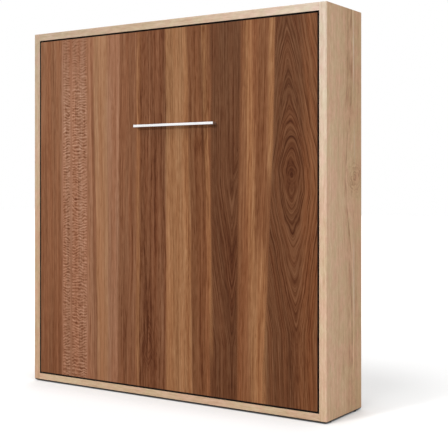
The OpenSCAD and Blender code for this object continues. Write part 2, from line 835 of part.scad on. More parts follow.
// The rod: a piston inside the cylinder, and an end fitting whose stud points at the bed's hinge plate
module gas_rod() {
    piston_top = -fitting_l - cylinder_l + guide_l + 2 * piston_l;
    translate([0, 0, -spring_l + fitting_l]) cylinder(h = piston_top + spring_l - fitting_l, r = rod_r);
    translate([0, 0, piston_top - piston_l]) cylinder(h = piston_l, r = chamber_r - fit_gap);
    translate([0, 0, -spring_l]) {
        spring_eye(1, false);
        bar_x(hinge_x1 + side_gap - spring_x, -eye_t / 2 + over, 0, 0, stud_r);
    }
}

module gas_rod_left() { color(bright_steel) spring_frame(-1) gas_rod(); }
module gas_rod_right() { color(bright_steel) spring_frame(1) gas_rod(); }

// Puts children in the foot leg's frame: its stud at the origin, folded against the mattress
module leg_frame() {
    from_front() translate([0, leg_stud_y, leg_stud_z]) rotate([-leg_swing, 0, 0]) children();
}

// A flat arm: up past the panel's edge, then down to the cross tube
module leg_arm() {
    tube_y = -leg_reach;
    difference() {
        union() {
            bar_x(leg_x0, leg_x1, 0, 0, leg_w / 2);
            block([leg_x0, -leg_w / 2, 0], [leg_x1, leg_w / 2, leg_shift]);
            bar_x(leg_x0, leg_x1, 0, leg_shift, leg_w / 2);
            block([leg_x0, tube_y, leg_shift - leg_w / 2], [leg_x1, 0, leg_shift + leg_w / 2]);
            bar_x(leg_x0, leg_x1, tube_y, leg_shift, leg_w / 2);
        }
        bar_x(leg_x0 - over, leg_x1 + over, 0, 0, leg_stud_r + fit_gap);
    }
}

module leg_arm_left() { color(frame_grey) leg_frame() on_side(-1) leg_arm(); }
module leg_arm_right() { color(frame_grey) leg_frame() on_side(1) leg_arm(); }

// The tube that stands on the floor, between the arms
module leg_cross_tube() {
    color(frame_grey) leg_frame() difference() {
        bar_x(-leg_x0, leg_x0, -leg_reach, leg_shift, leg_tube_r);
        bar_x(-leg_x0 - over, leg_x0 + over, -leg_reach, leg_shift, leg_tube_r - rail_wall);
    }
}

// Rubber sleeves on the cross tube
module leg_feet() {
    color(black) leg_frame() both_sides() difference() {
        bar_x(foot_x, foot_x + foot_l, -leg_reach, leg_shift, foot_r);
        bar_x(foot_x - over, foot_x + foot_l + over, -leg_reach, leg_shift, leg_tube_r + fit_gap);
    }
}

side_left();
side_right();
top_board();
bottom_board();
upper_back_rail();
lower_back_rail();
headboard();
dowels();
cam_locks();
cam_bolts();
glides();
cabinet_pivot_plate_left();
cabinet_pivot_plate_right();
cabinet_plate_screws();
spring_bracket_left();
spring_bracket_right();
spring_bracket_screws();
spring_clips();
magnet_catches();
stop_bumpers();
gap_seals();
front_panel();
handle_bar();
handle_post_left();
handle_post_right();
handle_screws();
bed_rail_left();
bed_rail_right();
head_rail();
foot_rail();
centre_rail();
rail_end_caps();
panel_brackets();
panel_screws();
slat_holders_outer();
slat_holders_centre();
slats_left();
slats_right();
bed_hinge_plate_left();
bed_hinge_plate_right();
hinge_plate_screws();
pivot_bushings();
leg_bracket_left();
leg_bracket_right();
leg_nuts();
mattress_stops();
striker_plates();
mattress();
mattress_straps();
strap_buckles();
gas_cylinder_left();
gas_cylinder_right();
gas_rod_left();
gas_rod_right();
leg_arm_left();
leg_arm_right();
leg_cross_tube();
leg_feet();
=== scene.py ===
"""Looks of the wall bed: finishes, soft parts, floor, light and the photograph's camera.

Metres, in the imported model's frame: +Z up, the front faces -Y, the floor is Z = 0.
"""
import json
import math

import bmesh
import bpy
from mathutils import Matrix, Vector, noise


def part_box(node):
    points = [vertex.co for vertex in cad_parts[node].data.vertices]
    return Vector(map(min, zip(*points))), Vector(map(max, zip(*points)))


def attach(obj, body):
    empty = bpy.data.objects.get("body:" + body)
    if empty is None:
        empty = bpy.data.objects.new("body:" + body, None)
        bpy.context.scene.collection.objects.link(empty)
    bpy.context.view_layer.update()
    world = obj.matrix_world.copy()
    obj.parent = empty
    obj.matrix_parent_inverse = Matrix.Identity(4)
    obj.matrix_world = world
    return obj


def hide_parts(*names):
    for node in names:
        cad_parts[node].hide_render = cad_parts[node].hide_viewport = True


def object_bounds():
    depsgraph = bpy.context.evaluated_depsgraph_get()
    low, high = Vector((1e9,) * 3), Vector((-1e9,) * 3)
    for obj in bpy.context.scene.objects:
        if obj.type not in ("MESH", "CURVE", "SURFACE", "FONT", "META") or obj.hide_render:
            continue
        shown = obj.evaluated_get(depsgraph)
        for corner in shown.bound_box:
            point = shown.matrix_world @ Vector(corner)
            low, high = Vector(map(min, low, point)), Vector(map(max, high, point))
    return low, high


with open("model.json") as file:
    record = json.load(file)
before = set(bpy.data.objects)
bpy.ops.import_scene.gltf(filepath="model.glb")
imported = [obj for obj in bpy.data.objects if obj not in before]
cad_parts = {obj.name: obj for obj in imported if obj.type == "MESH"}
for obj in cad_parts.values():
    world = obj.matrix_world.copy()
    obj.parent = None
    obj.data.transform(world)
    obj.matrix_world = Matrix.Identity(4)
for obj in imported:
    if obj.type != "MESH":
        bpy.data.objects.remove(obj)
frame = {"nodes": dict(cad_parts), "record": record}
cad_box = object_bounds()

# Places that the looks are set out from, read from the frame
PANEL_LOW, PANEL_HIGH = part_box("front_panel")
PANEL_W = PANEL_HIGH.x - PANEL_LOW.x
FRONT_Y = PANEL_LOW.y
CABINET_H = cad_box[1][2]


def srgb(red, green, blue):
    """A colour given as it looks on a screen, 0 to 255, as the linear colour of shaders."""
    def linear(v):
        v /= 255
        return v / 12.92 if v <= 0.04045 else ((v + 0.055) / 1.055) ** 2.4
    return (linear(red), linear(green), linear(blue), 1.0)


# How red and blue fall as wood darkens, as powers of the fall of green
WOOD_RED = 0.70
WOOD_BLUE = 1.25


class Shader:
    """Short calls that build one material's nodes round a Principled shader."""

    def __init__(self, name, **settings):
        self.material = bpy.data.materials.new(name)
        self.material.use_nodes = True
        self.nodes = self.material.node_tree.nodes
        self.links = self.material.node_tree.links
        self.bsdf = self.nodes["Principled BSDF"]
        self.place = self.node("TexCoord").outputs["Object"]
        for socket, value in settings.items():
            self.bsdf.inputs[socket.replace("_", " ")].default_value = value

    def feed(self, socket, source):
        """Links a socket, or sets its value."""
        if isinstance(source, bpy.types.NodeSocket):
            self.links.new(source, socket)
        else:
            socket.default_value = source

    def set(self, socket, source):
        self.feed(self.bsdf.inputs[socket], source)

    def node(self, kind, *sources):
        """A new node, with its first sockets fed."""
        made = self.nodes.new("ShaderNode" + kind)
        for socket, source in zip(made.inputs, sources):
            self.feed(socket, source)
        return made

    def math(self, operation, *sources):
        node = self.node("Math", *sources)
        node.operation = operation
        return node.outputs[0]

    def plus(self, a, b):
        return self.math("ADD", a, b)

    def minus(self, a, b):
        return self.math("SUBTRACT", a, b)

    def times(self, a, b):
        return self.math("MULTIPLY", a, b)

    def over(self, a, b):
        return self.math("DIVIDE", a, b)

    def times_plus(self, a, b, c):
        """a times b, plus c."""
        return self.math("MULTIPLY_ADD", a, b, c)

    def split(self, vector):
        return tuple(self.node("SeparateXYZ", vector).outputs)

    def join(self, x, y, z):
        return self.node("CombineXYZ", x, y, z).outputs[0]

    def scaled(self, x, y, z, vector=None):
        """The place, stretched: each number is how many noise cells a metre holds."""
        node = self.node("VectorMath", vector or self.place, (x, y, z))
        node.operation = "MULTIPLY"
        return node.outputs[0]

    def noise(self, vector, detail=3.0, roughness=0.5):
        node = self.node("TexNoise", vector)
        node.inputs["Scale"].default_value = 1.0
        node.inputs["Detail"].default_value = detail
        node.inputs["Roughness"].default_value = roughness
        return node.outputs["Fac"]

    def between(self, source, low, high, to_low=0.0, to_high=1.0, smooth=False):
        """Maps low..high to to_low..to_high, and holds the ends."""
        node = self.node("MapRange", source, low, high, to_low, to_high)
        node.interpolation_type = "SMOOTHSTEP" if smooth else "LINEAR"
        return node.outputs[0]

    def spread(self, source, reach, edge=0.3):
        """Noise spread out to -reach..reach."""
        return self.between(source, edge, 1 - edge, -reach, reach)

    def ramp(self, source, stops):
        """A colour ramp; gives its colour and its alpha."""
        node = self.node("ValToRGB", source)
        elements = node.color_ramp.elements
        elements[0].position, elements[0].color = stops[0]
        elements[1].position, elements[1].color = stops[-1]
        for position, colour in stops[1:-1]:
            elements.new(position).color = colour
        return tuple(node.outputs)

    def mix(self, share, a, b, blend="MIX"):
        node = self.node("Mix", share)
        node.data_type = "RGBA"
        node.blend_type = blend
        self.feed(node.inputs[6], a)
        self.feed(node.inputs[7], b)
        return node.outputs[2]

    def tinted(self, colour, value):
        """The colour times a grey value."""
        return self.mix(1.0, colour, self.join(value, value, value), "MULTIPLY")

    def wood(self, colour, value):
        """The colour times a grey value, as wood darkens: red falls less than green, and blue more."""
        red = self.math("POWER", value, WOOD_RED)
        blue = self.math("POWER", value, WOOD_BLUE)
        return self.mix(1.0, colour, self.join(red, value, blue), "MULTIPLY")

    def bump(self, height, depth, strength=1.0):
        """Bumps of a depth in metres."""
        node = self.node("Bump")
        node.inputs["Strength"].default_value = strength
        node.inputs["Distance"].default_value = depth
        self.feed(node.inputs["Height"], height)
        self.set("Normal", node.outputs[0])


# Tones of the walnut decor
BROWN = (130, 85, 58)
ROSE = (149, 104, 79)
RUSSET = (136, 91, 65)
PINK = (149, 104, 77)
TAN = (152, 108, 77)
FAWN = (146, 102, 76)
EARTH = (125, 81, 55)
UMBER = (113, 70, 45)
HONEY = (148, 103, 69)
CHESTNUT = (115, 72, 45)
COCOA = (99, 61, 38)
SIENNA = (125, 79, 50)
GOLD = (165, 117, 78)
BARK = (102, 63, 39)
RUST = (116, 71, 43)

# Bands of the decor: left and right edge in metres from the panel's left edge, tone, and
# strength of the streaks
BANDS = (
    (0.000, 0.176, BROWN, 0.45),
    (0.184, 0.388, ROSE, 0.30),
    (0.396, 0.428, PINK, 0.40),
    (0.436, 0.455, RUSSET, 0.40),
    (0.462, 0.548, TAN, 0.33),
    (0.562, 0.634, FAWN, 0.35),
    (0.644, 0.768, EARTH, 0.50),
    (0.782, 0.800, SIENNA, 0.60),
    (0.808, 0.984, UMBER, 0.74),
    (0.996, 1.158, HONEY, 0.50),
    (1.166, 1.262, CHESTNUT, 0.62),
    (1.274, 1.296, SIENNA, 0.65),
    (1.308, 1.484, COCOA, 0.60),
    (1.496, 1.690, SIENNA, 0.55),
)

# Flame figure: its plank's left edge, where its tone turns from bark to rust, and the streaks' strength
FLAME_PLANK = 1.686
FLAME_TURN = (1.86, 1.92)
FLAME_STREAKS = 0.75
# Its rings: their shape as in ring_field, their middle at the foot and how that leans, the heights
# between which they run straight, their spacing, depth, and how much lighter the figure is
FLAME_STEEP = 1.4
FLAME_POINT = 3.6
FLAME_BEND = 270.0
FLAME_SIDE = 0.083
FLAME_BLUNT = 0.028
FLAME_MIDDLE = 1.869
FLAME_LEAN = 0.036
FLAME_HEART = (1.225, 1.318)
FLAME_RING = 0.043
FLAME_DEPTH = 0.62
FLAME_LIGHT = 0.13
# How much the grain follows the rings, and how far both swirl in metres
FLAME_FLOW = 4.0
SWIRL = 0.034

# Nested points of the dark plank: its edges, their middle, and the spacing and depth of their lines
POINTS_PLANK = (1.306, 1.488)
POINTS_MIDDLE = 1.445
POINTS_BLUNT = 0.003
POINTS_RING = 0.0072
POINTS_DEPTH = 0.26

# Small figure at the foot: centre, spacing and depth of its lines
SMALL_CENTRE = (0.862, 0.300)
SMALL_RING = 0.036
SMALL_DEPTH = 0.50

# Knots: centre, half width and half height of their rings' spacing, reach in rings, and depth
KNOT_RINGS = (
    ((1.823, 1.296), (0.013, 0.020), 4.2, 0.34),
    ((1.818, 1.165), (0.011, 0.016), 2.2, 0.06),
)

# Single streaks: place at the foot and at the top, half width, how much lighter, and the heights
# that they run between
STREAKS = (
    (0.461, 0.424, 0.010, -0.12, 0.70, 2.00),
    (0.524, 0.510, 0.012, 0.13, 1.25, 2.30),
    (0.479, 0.452, 0.007, 0.12, 1.05, 1.65),
    (0.611, 0.647, 0.009, 0.13, 0.90, 2.30),
    (0.845, 0.842, 0.006, -0.14, 0.60, 2.30),
    (0.868, 0.866, 0.008, 0.20, 1.05, 2.15),
    (0.916, 0.914, 0.009, -0.20, 0.95, 1.60),
    (0.938, 0.930, 0.007, 0.17, 0.50, 1.75),
    (0.966, 0.962, 0.006, 0.12, 0.10, 1.30),
    (1.010, 1.014, 0.007, 0.08, 0.00, 2.30),
    (1.036, 1.029, 0.005, -0.09, 1.30, 2.30),
    (1.072, 1.096, 0.005, -0.13, 0.35, 1.45),
    (1.098, 1.086, 0.008, 0.09, 0.60, 2.30),
    (1.235, 1.232, 0.006, -0.14, 0.05, 1.40),
    (1.352, 1.370, 0.007, 0.14, 1.20, 2.10),
    (1.432, 1.432, 0.014, 0.12, 1.55, 1.95),
    (1.600, 1.566, 0.014, 0.12, 0.00, 2.30),
    (1.648, 1.640, 0.006, -0.12, 0.20, 1.70),
    (1.838, 1.810, 0.030, -0.14, 0.10, 0.60),
    (1.886, 1.890, 0.010, 0.12, 0.10, 1.00),
    (1.930, 1.922, 0.010, -0.18, 0.30, 1.90),
    (1.944, 1.938, 0.008, 0.14, 0.60, 2.20),
)
# Dark spots: the big knot and its eye, a pin knot, a patch beside the handle and its middle, and one
# high on the dark plank
DARK_SPOTS = (
    ((1.818, 1.305), 0.044, 0.090, 0.40),
    ((1.823, 1.296), 0.012, 0.018, 0.30),
    ((1.599, 0.423), 0.006, 0.016, 0.40),
    ((1.222, 1.475), 0.045, 0.075, 0.24),
    ((1.222, 1.480), 0.016, 0.030, 0.16),
    ((1.440, 1.970), 0.040, 0.060, 0.14),
)
# Golden streaks, whose number is how much of the golden tone they show
GOLDEN = (
    (1.596, 1.545, 0.026, 0.45, 0.00, 2.30),
    (1.640, 1.628, 0.030, 0.50, 0.00, 0.90),
    (1.664, 1.704, 0.016, 0.62, 1.30, 2.30),
    (1.322, 1.250, 0.014, 0.42, 0.30, 2.30),
    (0.786, 0.781, 0.011, 0.25, 0.10, 2.05),
)
STREAK_TOP = 2.2
STREAK_END = 0.12

# How far the plank joints lean, in metres a metre of height, at places across the panel
LEANS = (
    (0.00, 0.0), (0.19, 0.0), (0.45, 0.019), (0.64, -0.014), (0.99, 0.004),
    (1.16, 0.022), (1.30, 0.004), (1.49, -0.010), (1.69, -0.045), (1.98, 0.0),
)
LEAN_LIMIT = 0.05
MIDDLE_HEIGHT = 1.10
# How far the streaks wander and shake to each side, in metres
WANDER = 0.018
JITTER = 0.005

# How the decor's streaks and flecks change its tone, its level, and the darkest that it gets
STREAK_DEPTH = 0.66
FLECK_DEPTH = 0.58
DECOR_LEVEL = 1.05
DECOR_DARKEST = 0.3
# Width and tone of the dark edge banding round the front, whose dark also paints the shade in the gap
RIM_T = 0.0022
RIM_GAP_SHADE_TONE = (34, 25, 21)


def ring_field(s, x, z, centre, steep, point, bend, side, blunt):
    """Height in metres at which the growth ring through a place crosses the middle of its figure.

    Near the middle a ring is steep times higher than wide. Further up, point makes its tip sharper.
    Towards the side, bend makes rings run upright, and blunt rounds the tips.
    """
    dx = s.math("ABSOLUTE", s.minus(x, centre[0]))
    dz = s.math("ABSOLUTE", s.minus(z, centre[1]))
    near = s.math("MINIMUM", dx, side)
    rest = s.times_plus(dx, 3.0, s.times(near, -2.0))
    upright = s.times(s.times(near, near), s.times(rest, bend))
    across = s.times_plus(dx, s.times_plus(dz, point, steep), upright)
    across = s.math("SQRT", s.times_plus(across, across, blunt ** 2))
    up = s.math("SQRT", s.times_plus(dz, dz, blunt ** 2))
    return s.plus(s.plus(across, up), -2 * blunt)


def ring_lines(s, field, spacing, sharpness=2.5):
    """Growth rings: each darkens slowly towards its edge and then starts afresh; 0 to 1."""
    step = s.math("FRACT", s.over(field, spacing))
    late = s.math("POWER", step, sharpness)
    return s.times(late, s.between(step, 0.86, 1.0, 1.0, 0.0))


def ellipse(s, x, z, centre, half_width, half_height):
    """Distance from a centre, 1 on the ellipse."""
    dx = s.over(s.minus(x, centre[0]), half_width)
    dz = s.over(s.minus(z, centre[1]), half_height)
    return s.math("SQRT", s.plus(s.times(dx, dx), s.times(dz, dz)))


def inside(s, source, low, high, soft):
    """1 between low and high, 0 outside, with soft edges."""
    rise = s.between(source, low - soft, low + soft, smooth=True)
    fall = s.between(source, high - soft, high + soft, 1.0, 0.0, smooth=True)
    return s.times(rise, fall)


def walnut_places(s):
    """Distance from the panel's left edge, the same following the joints, the same waving, and height."""
    x, _, z = s.split(s.place)
    from_left = s.minus(x, PANEL_LOW.x)
    stops = []
    for place, lean in LEANS:
        grey = 0.5 + 0.5 * lean / LEAN_LIMIT
        stops.append((place / PANEL_W, (grey, grey, grey, 1.0)))
    lean, _ = s.ramp(s.over(from_left, PANEL_W), stops)
    lean = s.times_plus(s.split(lean)[0], 2 * LEAN_LIMIT, -LEAN_LIMIT)
    shift = s.times(lean, s.minus(z, MIDDLE_HEIGHT))
    wander = s.times_plus(s.noise(s.scaled(4.0, 4.0, 1.6), detail=2.0), 2 * WANDER, -WANDER)
    jitter = s.times_plus(s.noise(s.scaled(50.0, 50.0, 6.0), detail=2.0), 2 * JITTER, -JITTER)
    across = s.plus(s.plus(from_left, shift), s.plus(wander, jitter))
    steady = s.plus(from_left, s.times_plus(wander, 0.3, jitter))
    return from_left, across, steady, z


def named_streaks(s, x, z, streaks):
    """Single streaks added up."""
    total = 0.0
    for foot, top, half_width, lighter, low, high in streaks:
        middle = s.times_plus(z, (top - foot) / STREAK_TOP, foot)
        far = s.math("ABSOLUTE", s.minus(x, middle))
        share = s.between(far, 0.3 * half_width, 1.6 * half_width, lighter, 0.0, smooth=True)
        total = s.times_plus(share, inside(s, z, low, high, STREAK_END), total)
    return total


def walnut_streaks(s, flow, z):
    """Grain along the planks, about -1 to 1: broad shades, growth layers and fine lines."""
    place = s.join(flow, 0.0, z)
    broad = s.noise(s.scaled(24.0, 1.0, 0.7, place), detail=2.0)
    warp = s.noise(s.scaled(11.0, 1.0, 0.9, place))
    layers = ring_lines(s, s.times_plus(warp, 0.55, flow), 0.026, 1.6)
    medium = s.noise(s.scaled(60.0, 1.0, 1.1, place), detail=2.0, roughness=0.6)
    thin = s.noise(s.scaled(130.0, 1.0, 1.6, place), detail=2.0, roughness=0.6)
    mottle = s.noise(s.scaled(100.0, 1.0, 12.0, place), roughness=0.65)
    fine = s.noise(s.scaled(310.0, 1.0, 5.0, place), roughness=0.6)
    grain = s.plus(s.spread(broad, 0.45, 0.32), s.spread(medium, 0.65))
    grain = s.plus(grain, s.spread(thin, 1.0, 0.32))
    grain = s.plus(grain, s.spread(fine, 0.45))
    grain = s.plus(grain, s.spread(mottle, 0.75))
    grain = s.plus(grain, s.between(layers, 0.0, 1.0, 0.16, -0.50))
    return grain, medium, fine


# Cross flecks: their spacing up the plank in metres, their waves as shares of it, and their columns
FLECK_PITCH = 0.0185
FLECK_SWAY = 3.2
FLECK_SHAKE = 1.3
FLECKS_LEFT = (0.192, 0.250)
FLECKS_RIGHT = (0.266, 0.386)


def walnut_flecks(s, from_left, z):
    """Wavy cross flecks of the rose plank, in two columns, -1 to 1."""
    sway = s.times(s.noise(s.scaled(13.0, 1.0, 7.0), detail=1.0), FLECK_SWAY)
    shake = s.times(s.noise(s.scaled(38.0, 1.0, 22.0), detail=1.0), FLECK_SHAKE)
    turns = s.plus(s.times(z, 1 / FLECK_PITCH), s.plus(sway, shake))
    waves = s.math("MAXIMUM", s.math("SINE", s.times(turns, math.tau)), -0.5)
    waves = s.times(waves, s.between(s.noise(s.scaled(17.0, 3.0, 24.0)), 0.35, 0.65, 0.45, 1.0))
    thin = s.noise(s.scaled(34.0, 1.0, 110.0), detail=1.0)
    flecks = s.plus(waves, s.spread(thin, 0.70))
    columns = s.plus(inside(s, from_left, *FLECKS_LEFT, 0.006), inside(s, from_left, *FLECKS_RIGHT, 0.008))
    return s.times(s.times(flecks, columns), s.between(z, 1.70, 2.05, 1.0, 0.55))


def plank_tones(s, across, steady, z, in_flame):
    """Tone of the planks, and the strength of their streaks."""
    stops = []
    for left, right, tone, strength in BANDS:
        colour = srgb(*tone)[:3] + (strength,)
        stops += [(left / PANEL_W, colour), (right / PANEL_W, colour)]
    base, strength = s.ramp(s.over(across, PANEL_W), stops)
    flame_tone = s.mix(s.between(across, *FLAME_TURN, smooth=True), srgb(*BARK), srgb(*RUST))
    base = s.mix(in_flame, base, flame_tone)
    base = s.mix(named_streaks(s, steady, z, GOLDEN), base, srgb(*GOLD))
    return base, s.between(in_flame, 0.0, 1.0, strength, FLAME_STREAKS)


def flame_field(s, from_left, z, swirl):
    """Rings of the flame figure, the place across them, and the height above its heart."""
    across = s.times_plus(z, FLAME_LEAN, from_left)
    held = s.between(z, 0.45, 2.15, 0.45, 2.15)
    above = s.math("MAXIMUM", s.minus(held, FLAME_HEART[1]), 0.0)
    below = s.math("MINIMUM", s.minus(held, FLAME_HEART[0]), 0.0)
    flame = ring_field(s, across, s.plus(above, below), (FLAME_MIDDLE, 0.0),
                       FLAME_STEEP, FLAME_POINT, FLAME_BEND, FLAME_SIDE, FLAME_BLUNT)
    swirling = s.between(z, 0.55, 0.80)
    return s.times_plus(swirl, swirling, flame), across, above


def flame_shades(s, value, flame, across, above, in_flame, z):
    """Adds to a value the flame's growth lines, its lighter body and the dark place above its knot."""
    aside = s.math("ABSOLUTE", s.minus(across, FLAME_MIDDLE))
    lines = s.times(ring_lines(s, flame, FLAME_RING), in_flame)
    lines = s.times(lines, s.between(aside, 0.075, 0.115, 1.0, 0.25))
    lines = s.times(lines, s.between(flame, 0.004, 0.030))
    fade = s.between(flame, 0.32, 0.75, 1.0, 0.30)
    fade = s.times(fade, s.between(above, 0.36, 0.60, 1.0, 0.55))
    value = s.times_plus(s.times(lines, fade), -FLAME_DEPTH, value)
    value = s.times_plus(s.times(in_flame, fade), FLAME_LIGHT, value)
    dark = s.times(inside(s, across, 1.835, 1.890, 0.025), inside(s, z, 1.72, 1.98, 0.10))
    return s.times_plus(dark, -0.12, value)


def nested_points(s, from_left, z, swirl, pointed):
    """Field of the dark plank's nested points, whose lines run upright above them."""
    rise = s.between(z, 1.25, 1.75, 0.0, 0.10)
    dx = s.minus(s.minus(from_left, POINTS_MIDDLE), rise)
    points = s.math("SQRT", s.times_plus(dx, dx, POINTS_BLUNT ** 2))
    points = s.minus(points, s.plus(s.between(z, 0.35, 1.25, 0.0, 0.15), rise))
    return s.times_plus(s.times(swirl, pointed), 0.14, points)


def point_shades(s, value, points, in_points, pointed, from_left, z):
    """Adds to a value the lines of the nested points, and darkens the foot of their right half."""
    lines = s.times(s.times(ring_lines(s, points, POINTS_RING), in_points), pointed)
    value = s.times_plus(lines, -POINTS_DEPTH, value)
    right_half = s.times(in_points, s.between(from_left, 1.36, 1.42, smooth=True))
    return s.times_plus(right_half, s.between(z, 0.90, 1.90, -0.16, 0.10), value)


def knots(s, value, swirl, from_left, z):
    """Takes from a value the small figure, the knots' rings and the dark spots."""
    small = ring_field(s, from_left, z, SMALL_CENTRE, 2.6, 3.0, 0.0, 1.0, 0.022)
    near = s.between(small, 0.10, 0.24, 1.0, 0.0, smooth=True)
    lines = s.times(ring_lines(s, s.plus(small, swirl), SMALL_RING), near)
    value = s.times_plus(lines, -SMALL_DEPTH, value)
    for centre, spacing, reach, depth in KNOT_RINGS:
        far = s.times_plus(swirl, 9.0, ellipse(s, from_left, z, centre, *spacing))
        rings = s.times(ring_lines(s, far, 1.0, 1.2), s.between(far, 0.5 * reach, reach, depth, 0.0))
        value = s.minus(value, rings)
    for centre, half_width, half_height, depth in DARK_SPOTS:
        far = ellipse(s, from_left, z, centre, half_width, half_height)
        value = s.minus(value, s.between(far, 0.2, 1.2, depth, 0.0, smooth=True))
    return value


def painted_height_light(s, from_left, across, z):
    """Painted light: the planks are painted lighter at the top, most of all those at the left, but not the
    flecked one.
    """
    rise = s.plus(s.between(from_left, 0.40, 1.20, 0.13, 0.04), s.between(across, 0.174, 0.186, 0.12, 0.0))
    shade = s.times_plus(s.minus(z, MIDDLE_HEIGHT), rise, 1.0)
    flecked = inside(s, from_left, FLECKS_LEFT[0], FLECKS_RIGHT[1], 0.02)
    flecked = s.times(flecked, s.between(z, 1.75, 2.10, smooth=True))
    return s.times_plus(flecked, -0.20, shade)


def two_hues(s, colour, patches, one, other):
    """The colour in patches of two hues."""
    one = s.mix(1.0, colour, srgb(*one), "MULTIPLY")
    other = s.mix(1.0, colour, srgb(*other), "MULTIPLY")
    return s.mix(s.between(patches, 0.38, 0.62), one, other)


def walnut_decor():
    """The front's decor: upright planks of walnut, one flecked, and one with a flame figure and a knot."""
    s = Shader("walnut_decor", Roughness=0.50, Specular_IOR_Level=0.07)
    from_left, across, steady, z = walnut_places(s)
    in_flame = s.between(across, FLAME_PLANK - 0.006, FLAME_PLANK + 0.006, smooth=True)
    in_points = inside(s, across, *POINTS_PLANK, 0.008)
    pointed = inside(s, z, 0.62, 1.10, 0.15)
    base, strength = plank_tones(s, across, steady, z, in_flame)
    swirl = s.spread(s.noise(s.scaled(13.0, 1.0, 6.0), detail=1.0), SWIRL, 0.25)
    flame, leaning, above = flame_field(s, from_left, z, swirl)
    points = nested_points(s, from_left, z, swirl, pointed)

    # Grain, which follows the figures
    flow = s.between(in_flame, 0.0, 1.0, across, s.over(flame, FLAME_FLOW))
    flow = s.between(in_points, 0.0, 1.0, flow, points)
    grain, medium, fine = walnut_streaks(s, flow, z)
    value = s.times_plus(s.times(grain, strength), STREAK_DEPTH, DECOR_LEVEL)
    value = s.times_plus(walnut_flecks(s, from_left, z), FLECK_DEPTH, value)
    value = s.plus(value, named_streaks(s, steady, z, STREAKS))
    value = flame_shades(s, value, flame, leaning, above, in_flame, z)
    value = point_shades(s, value, points, in_points, pointed, from_left, z)
    value = knots(s, value, swirl, from_left, z)
    # Painted light: the planks lighter towards the top
    value = s.times(value, painted_height_light(s, from_left, across, z))
    colour = s.wood(base, s.math("MAXIMUM", value, DECOR_DARKEST))
    hue = s.noise(s.scaled(19.0, 1.0, 0.8, s.join(flow, 7.0, z)), detail=2.0)
    colour = two_hues(s, colour, hue, (250, 253, 253), (255, 249, 244))

    # Dark edge banding, which also paints the shade of the gap as a thin dark line round the front
    from_side = s.math("MINIMUM", from_left, s.minus(PANEL_W, from_left))
    from_end = s.math("MINIMUM", s.minus(z, PANEL_LOW.z), s.minus(PANEL_HIGH.z, z))
    rim = s.math("MINIMUM", from_side, from_end)
    colour = s.mix(s.between(rim, RIM_T, 1.3 * RIM_T), srgb(*RIM_GAP_SHADE_TONE), colour)
    s.set("Base Color", colour)
    s.bump(s.plus(medium, fine), 0.00025, 0.35)
    return s.material


# Oak decor: tones of its faces from the front to the back, and of the banding on its front edges,
# which has a painted highlight towards the top right and painted shade towards the top left
OAK_TONES = ((219, 184, 153), (211, 175, 144), (202, 165, 131))
OAK_BANDING = (213, 182, 155)
OAK_BANDING_LEFT = (195, 162, 134)
OAK_BANDING_LEVEL = (206, 178, 151)
OAK_BANDING_HIGHLIGHT = (227, 209, 193)
OAK_BANDING_SHADE = (194, 171, 149)
BANDING_T = 0.0015
OAK_DEPTH = 0.42

# How far the grain bends to each side, in metres
OAK_BEND = 0.015

# Knot of the right side board: depth from the front, height, half width and half height. Its pull
# moves the lines, and reaches this far up and down. Spacing and depth of its rings
OAK_KNOT = (0.335, 1.280, 0.050, 0.044)
OAK_PULL = 0.080
OAK_PULL_REACH = 0.62
OAK_RING = 0.50
OAK_RING_DEPTH = 0.46
# Lines of the right side board, in their flow round the knot: as the streaks of the walnut
OAK_LINES = (
    (0.298, 0.298, 0.0080, -0.22, 0.05, 2.30), (0.285, 0.288, 0.0050, -0.24, 1.75, 2.30),
    (0.296, 0.296, 0.0070, -0.22, 1.05, 1.65), (0.312, 0.312, 0.0060, 0.14, 1.10, 1.45),
    (0.311, 0.311, 0.0060, 0.34, 0.22, 0.95), (0.313, 0.313, 0.0060, 0.36, 1.72, 2.30),
    (0.272, 0.268, 0.026, -0.09, 0.00, 0.95), (0.272, 0.262, 0.026, -0.12, 1.60, 2.30),
    (0.190, 0.182, 0.009, -0.16, 0.20, 0.46), (0.186, 0.190, 0.008, -0.26, 1.84, 1.95),
    (0.262, 0.250, 0.006, -0.18, 0.10, 0.60), (0.246, 0.246, 0.005, -0.22, 1.70, 2.15),
    (0.224, 0.222, 0.005, -0.16, 1.85, 2.20), (0.264, 0.262, 0.004, -0.18, 1.80, 2.20),
    (0.352, 0.352, 0.007, -0.12, 0.00, 1.00), (0.380, 0.380, 0.007, -0.10, 1.40, 2.30),
    (0.275, 0.275, 0.060, -0.05, 0.00, 2.30), (0.140, 0.150, 0.006, -0.08, 0.30, 1.70),
    (0.275, 0.275, 0.007, -0.12, 0.60, 1.60), (0.235, 0.240, 0.006, -0.10, 0.40, 1.70),
)

# Its greyish glints: as the streaks, but their number is how much of the tone they show
OAK_GLINT = (208, 187, 167)
OAK_GLINTS = (
    (0.325, 0.318, 0.0060, 0.60, 1.74, 2.12), (0.328, 0.316, 0.0075, 0.50, 0.52, 0.92),
    (0.300, 0.296, 0.0040, 0.45, 0.62, 0.82), (0.326, 0.330, 0.0060, 0.45, 1.36, 1.56),
)


def round_knot(s, y, depth, height, knot):
    """The place across the grain, moved so that lines run round the knot."""
    far_up = s.math("ABSOLUTE", s.minus(height, knot[1]))
    pull = s.between(far_up, 0.0, OAK_PULL_REACH, OAK_PULL, 0.0, smooth=True)
    pull = s.times(pull, s.between(depth, 0.08, 0.24, smooth=True))
    pull = s.times(pull, s.between(depth, 0.25, knot[0], 1.0, 0.3))
    return s.plus(y, pull)


def oak_banding(s, width, height, tone):
    """Tone of the front edges, with a painted highlight towards the top right and painted shade towards
    the top left.
    """
    upper = s.between(height, 1.0, CABINET_H)
    painted_highlight = s.times(s.between(width, -0.3, 1.3), upper)
    painted_shade = s.times(s.between(width, -0.9, 0.5, 1.0, 0.0), upper)
    banding = s.mix(painted_highlight, srgb(*tone), srgb(*OAK_BANDING_HIGHLIGHT))
    return s.mix(painted_shade, banding, srgb(*OAK_BANDING_SHADE))


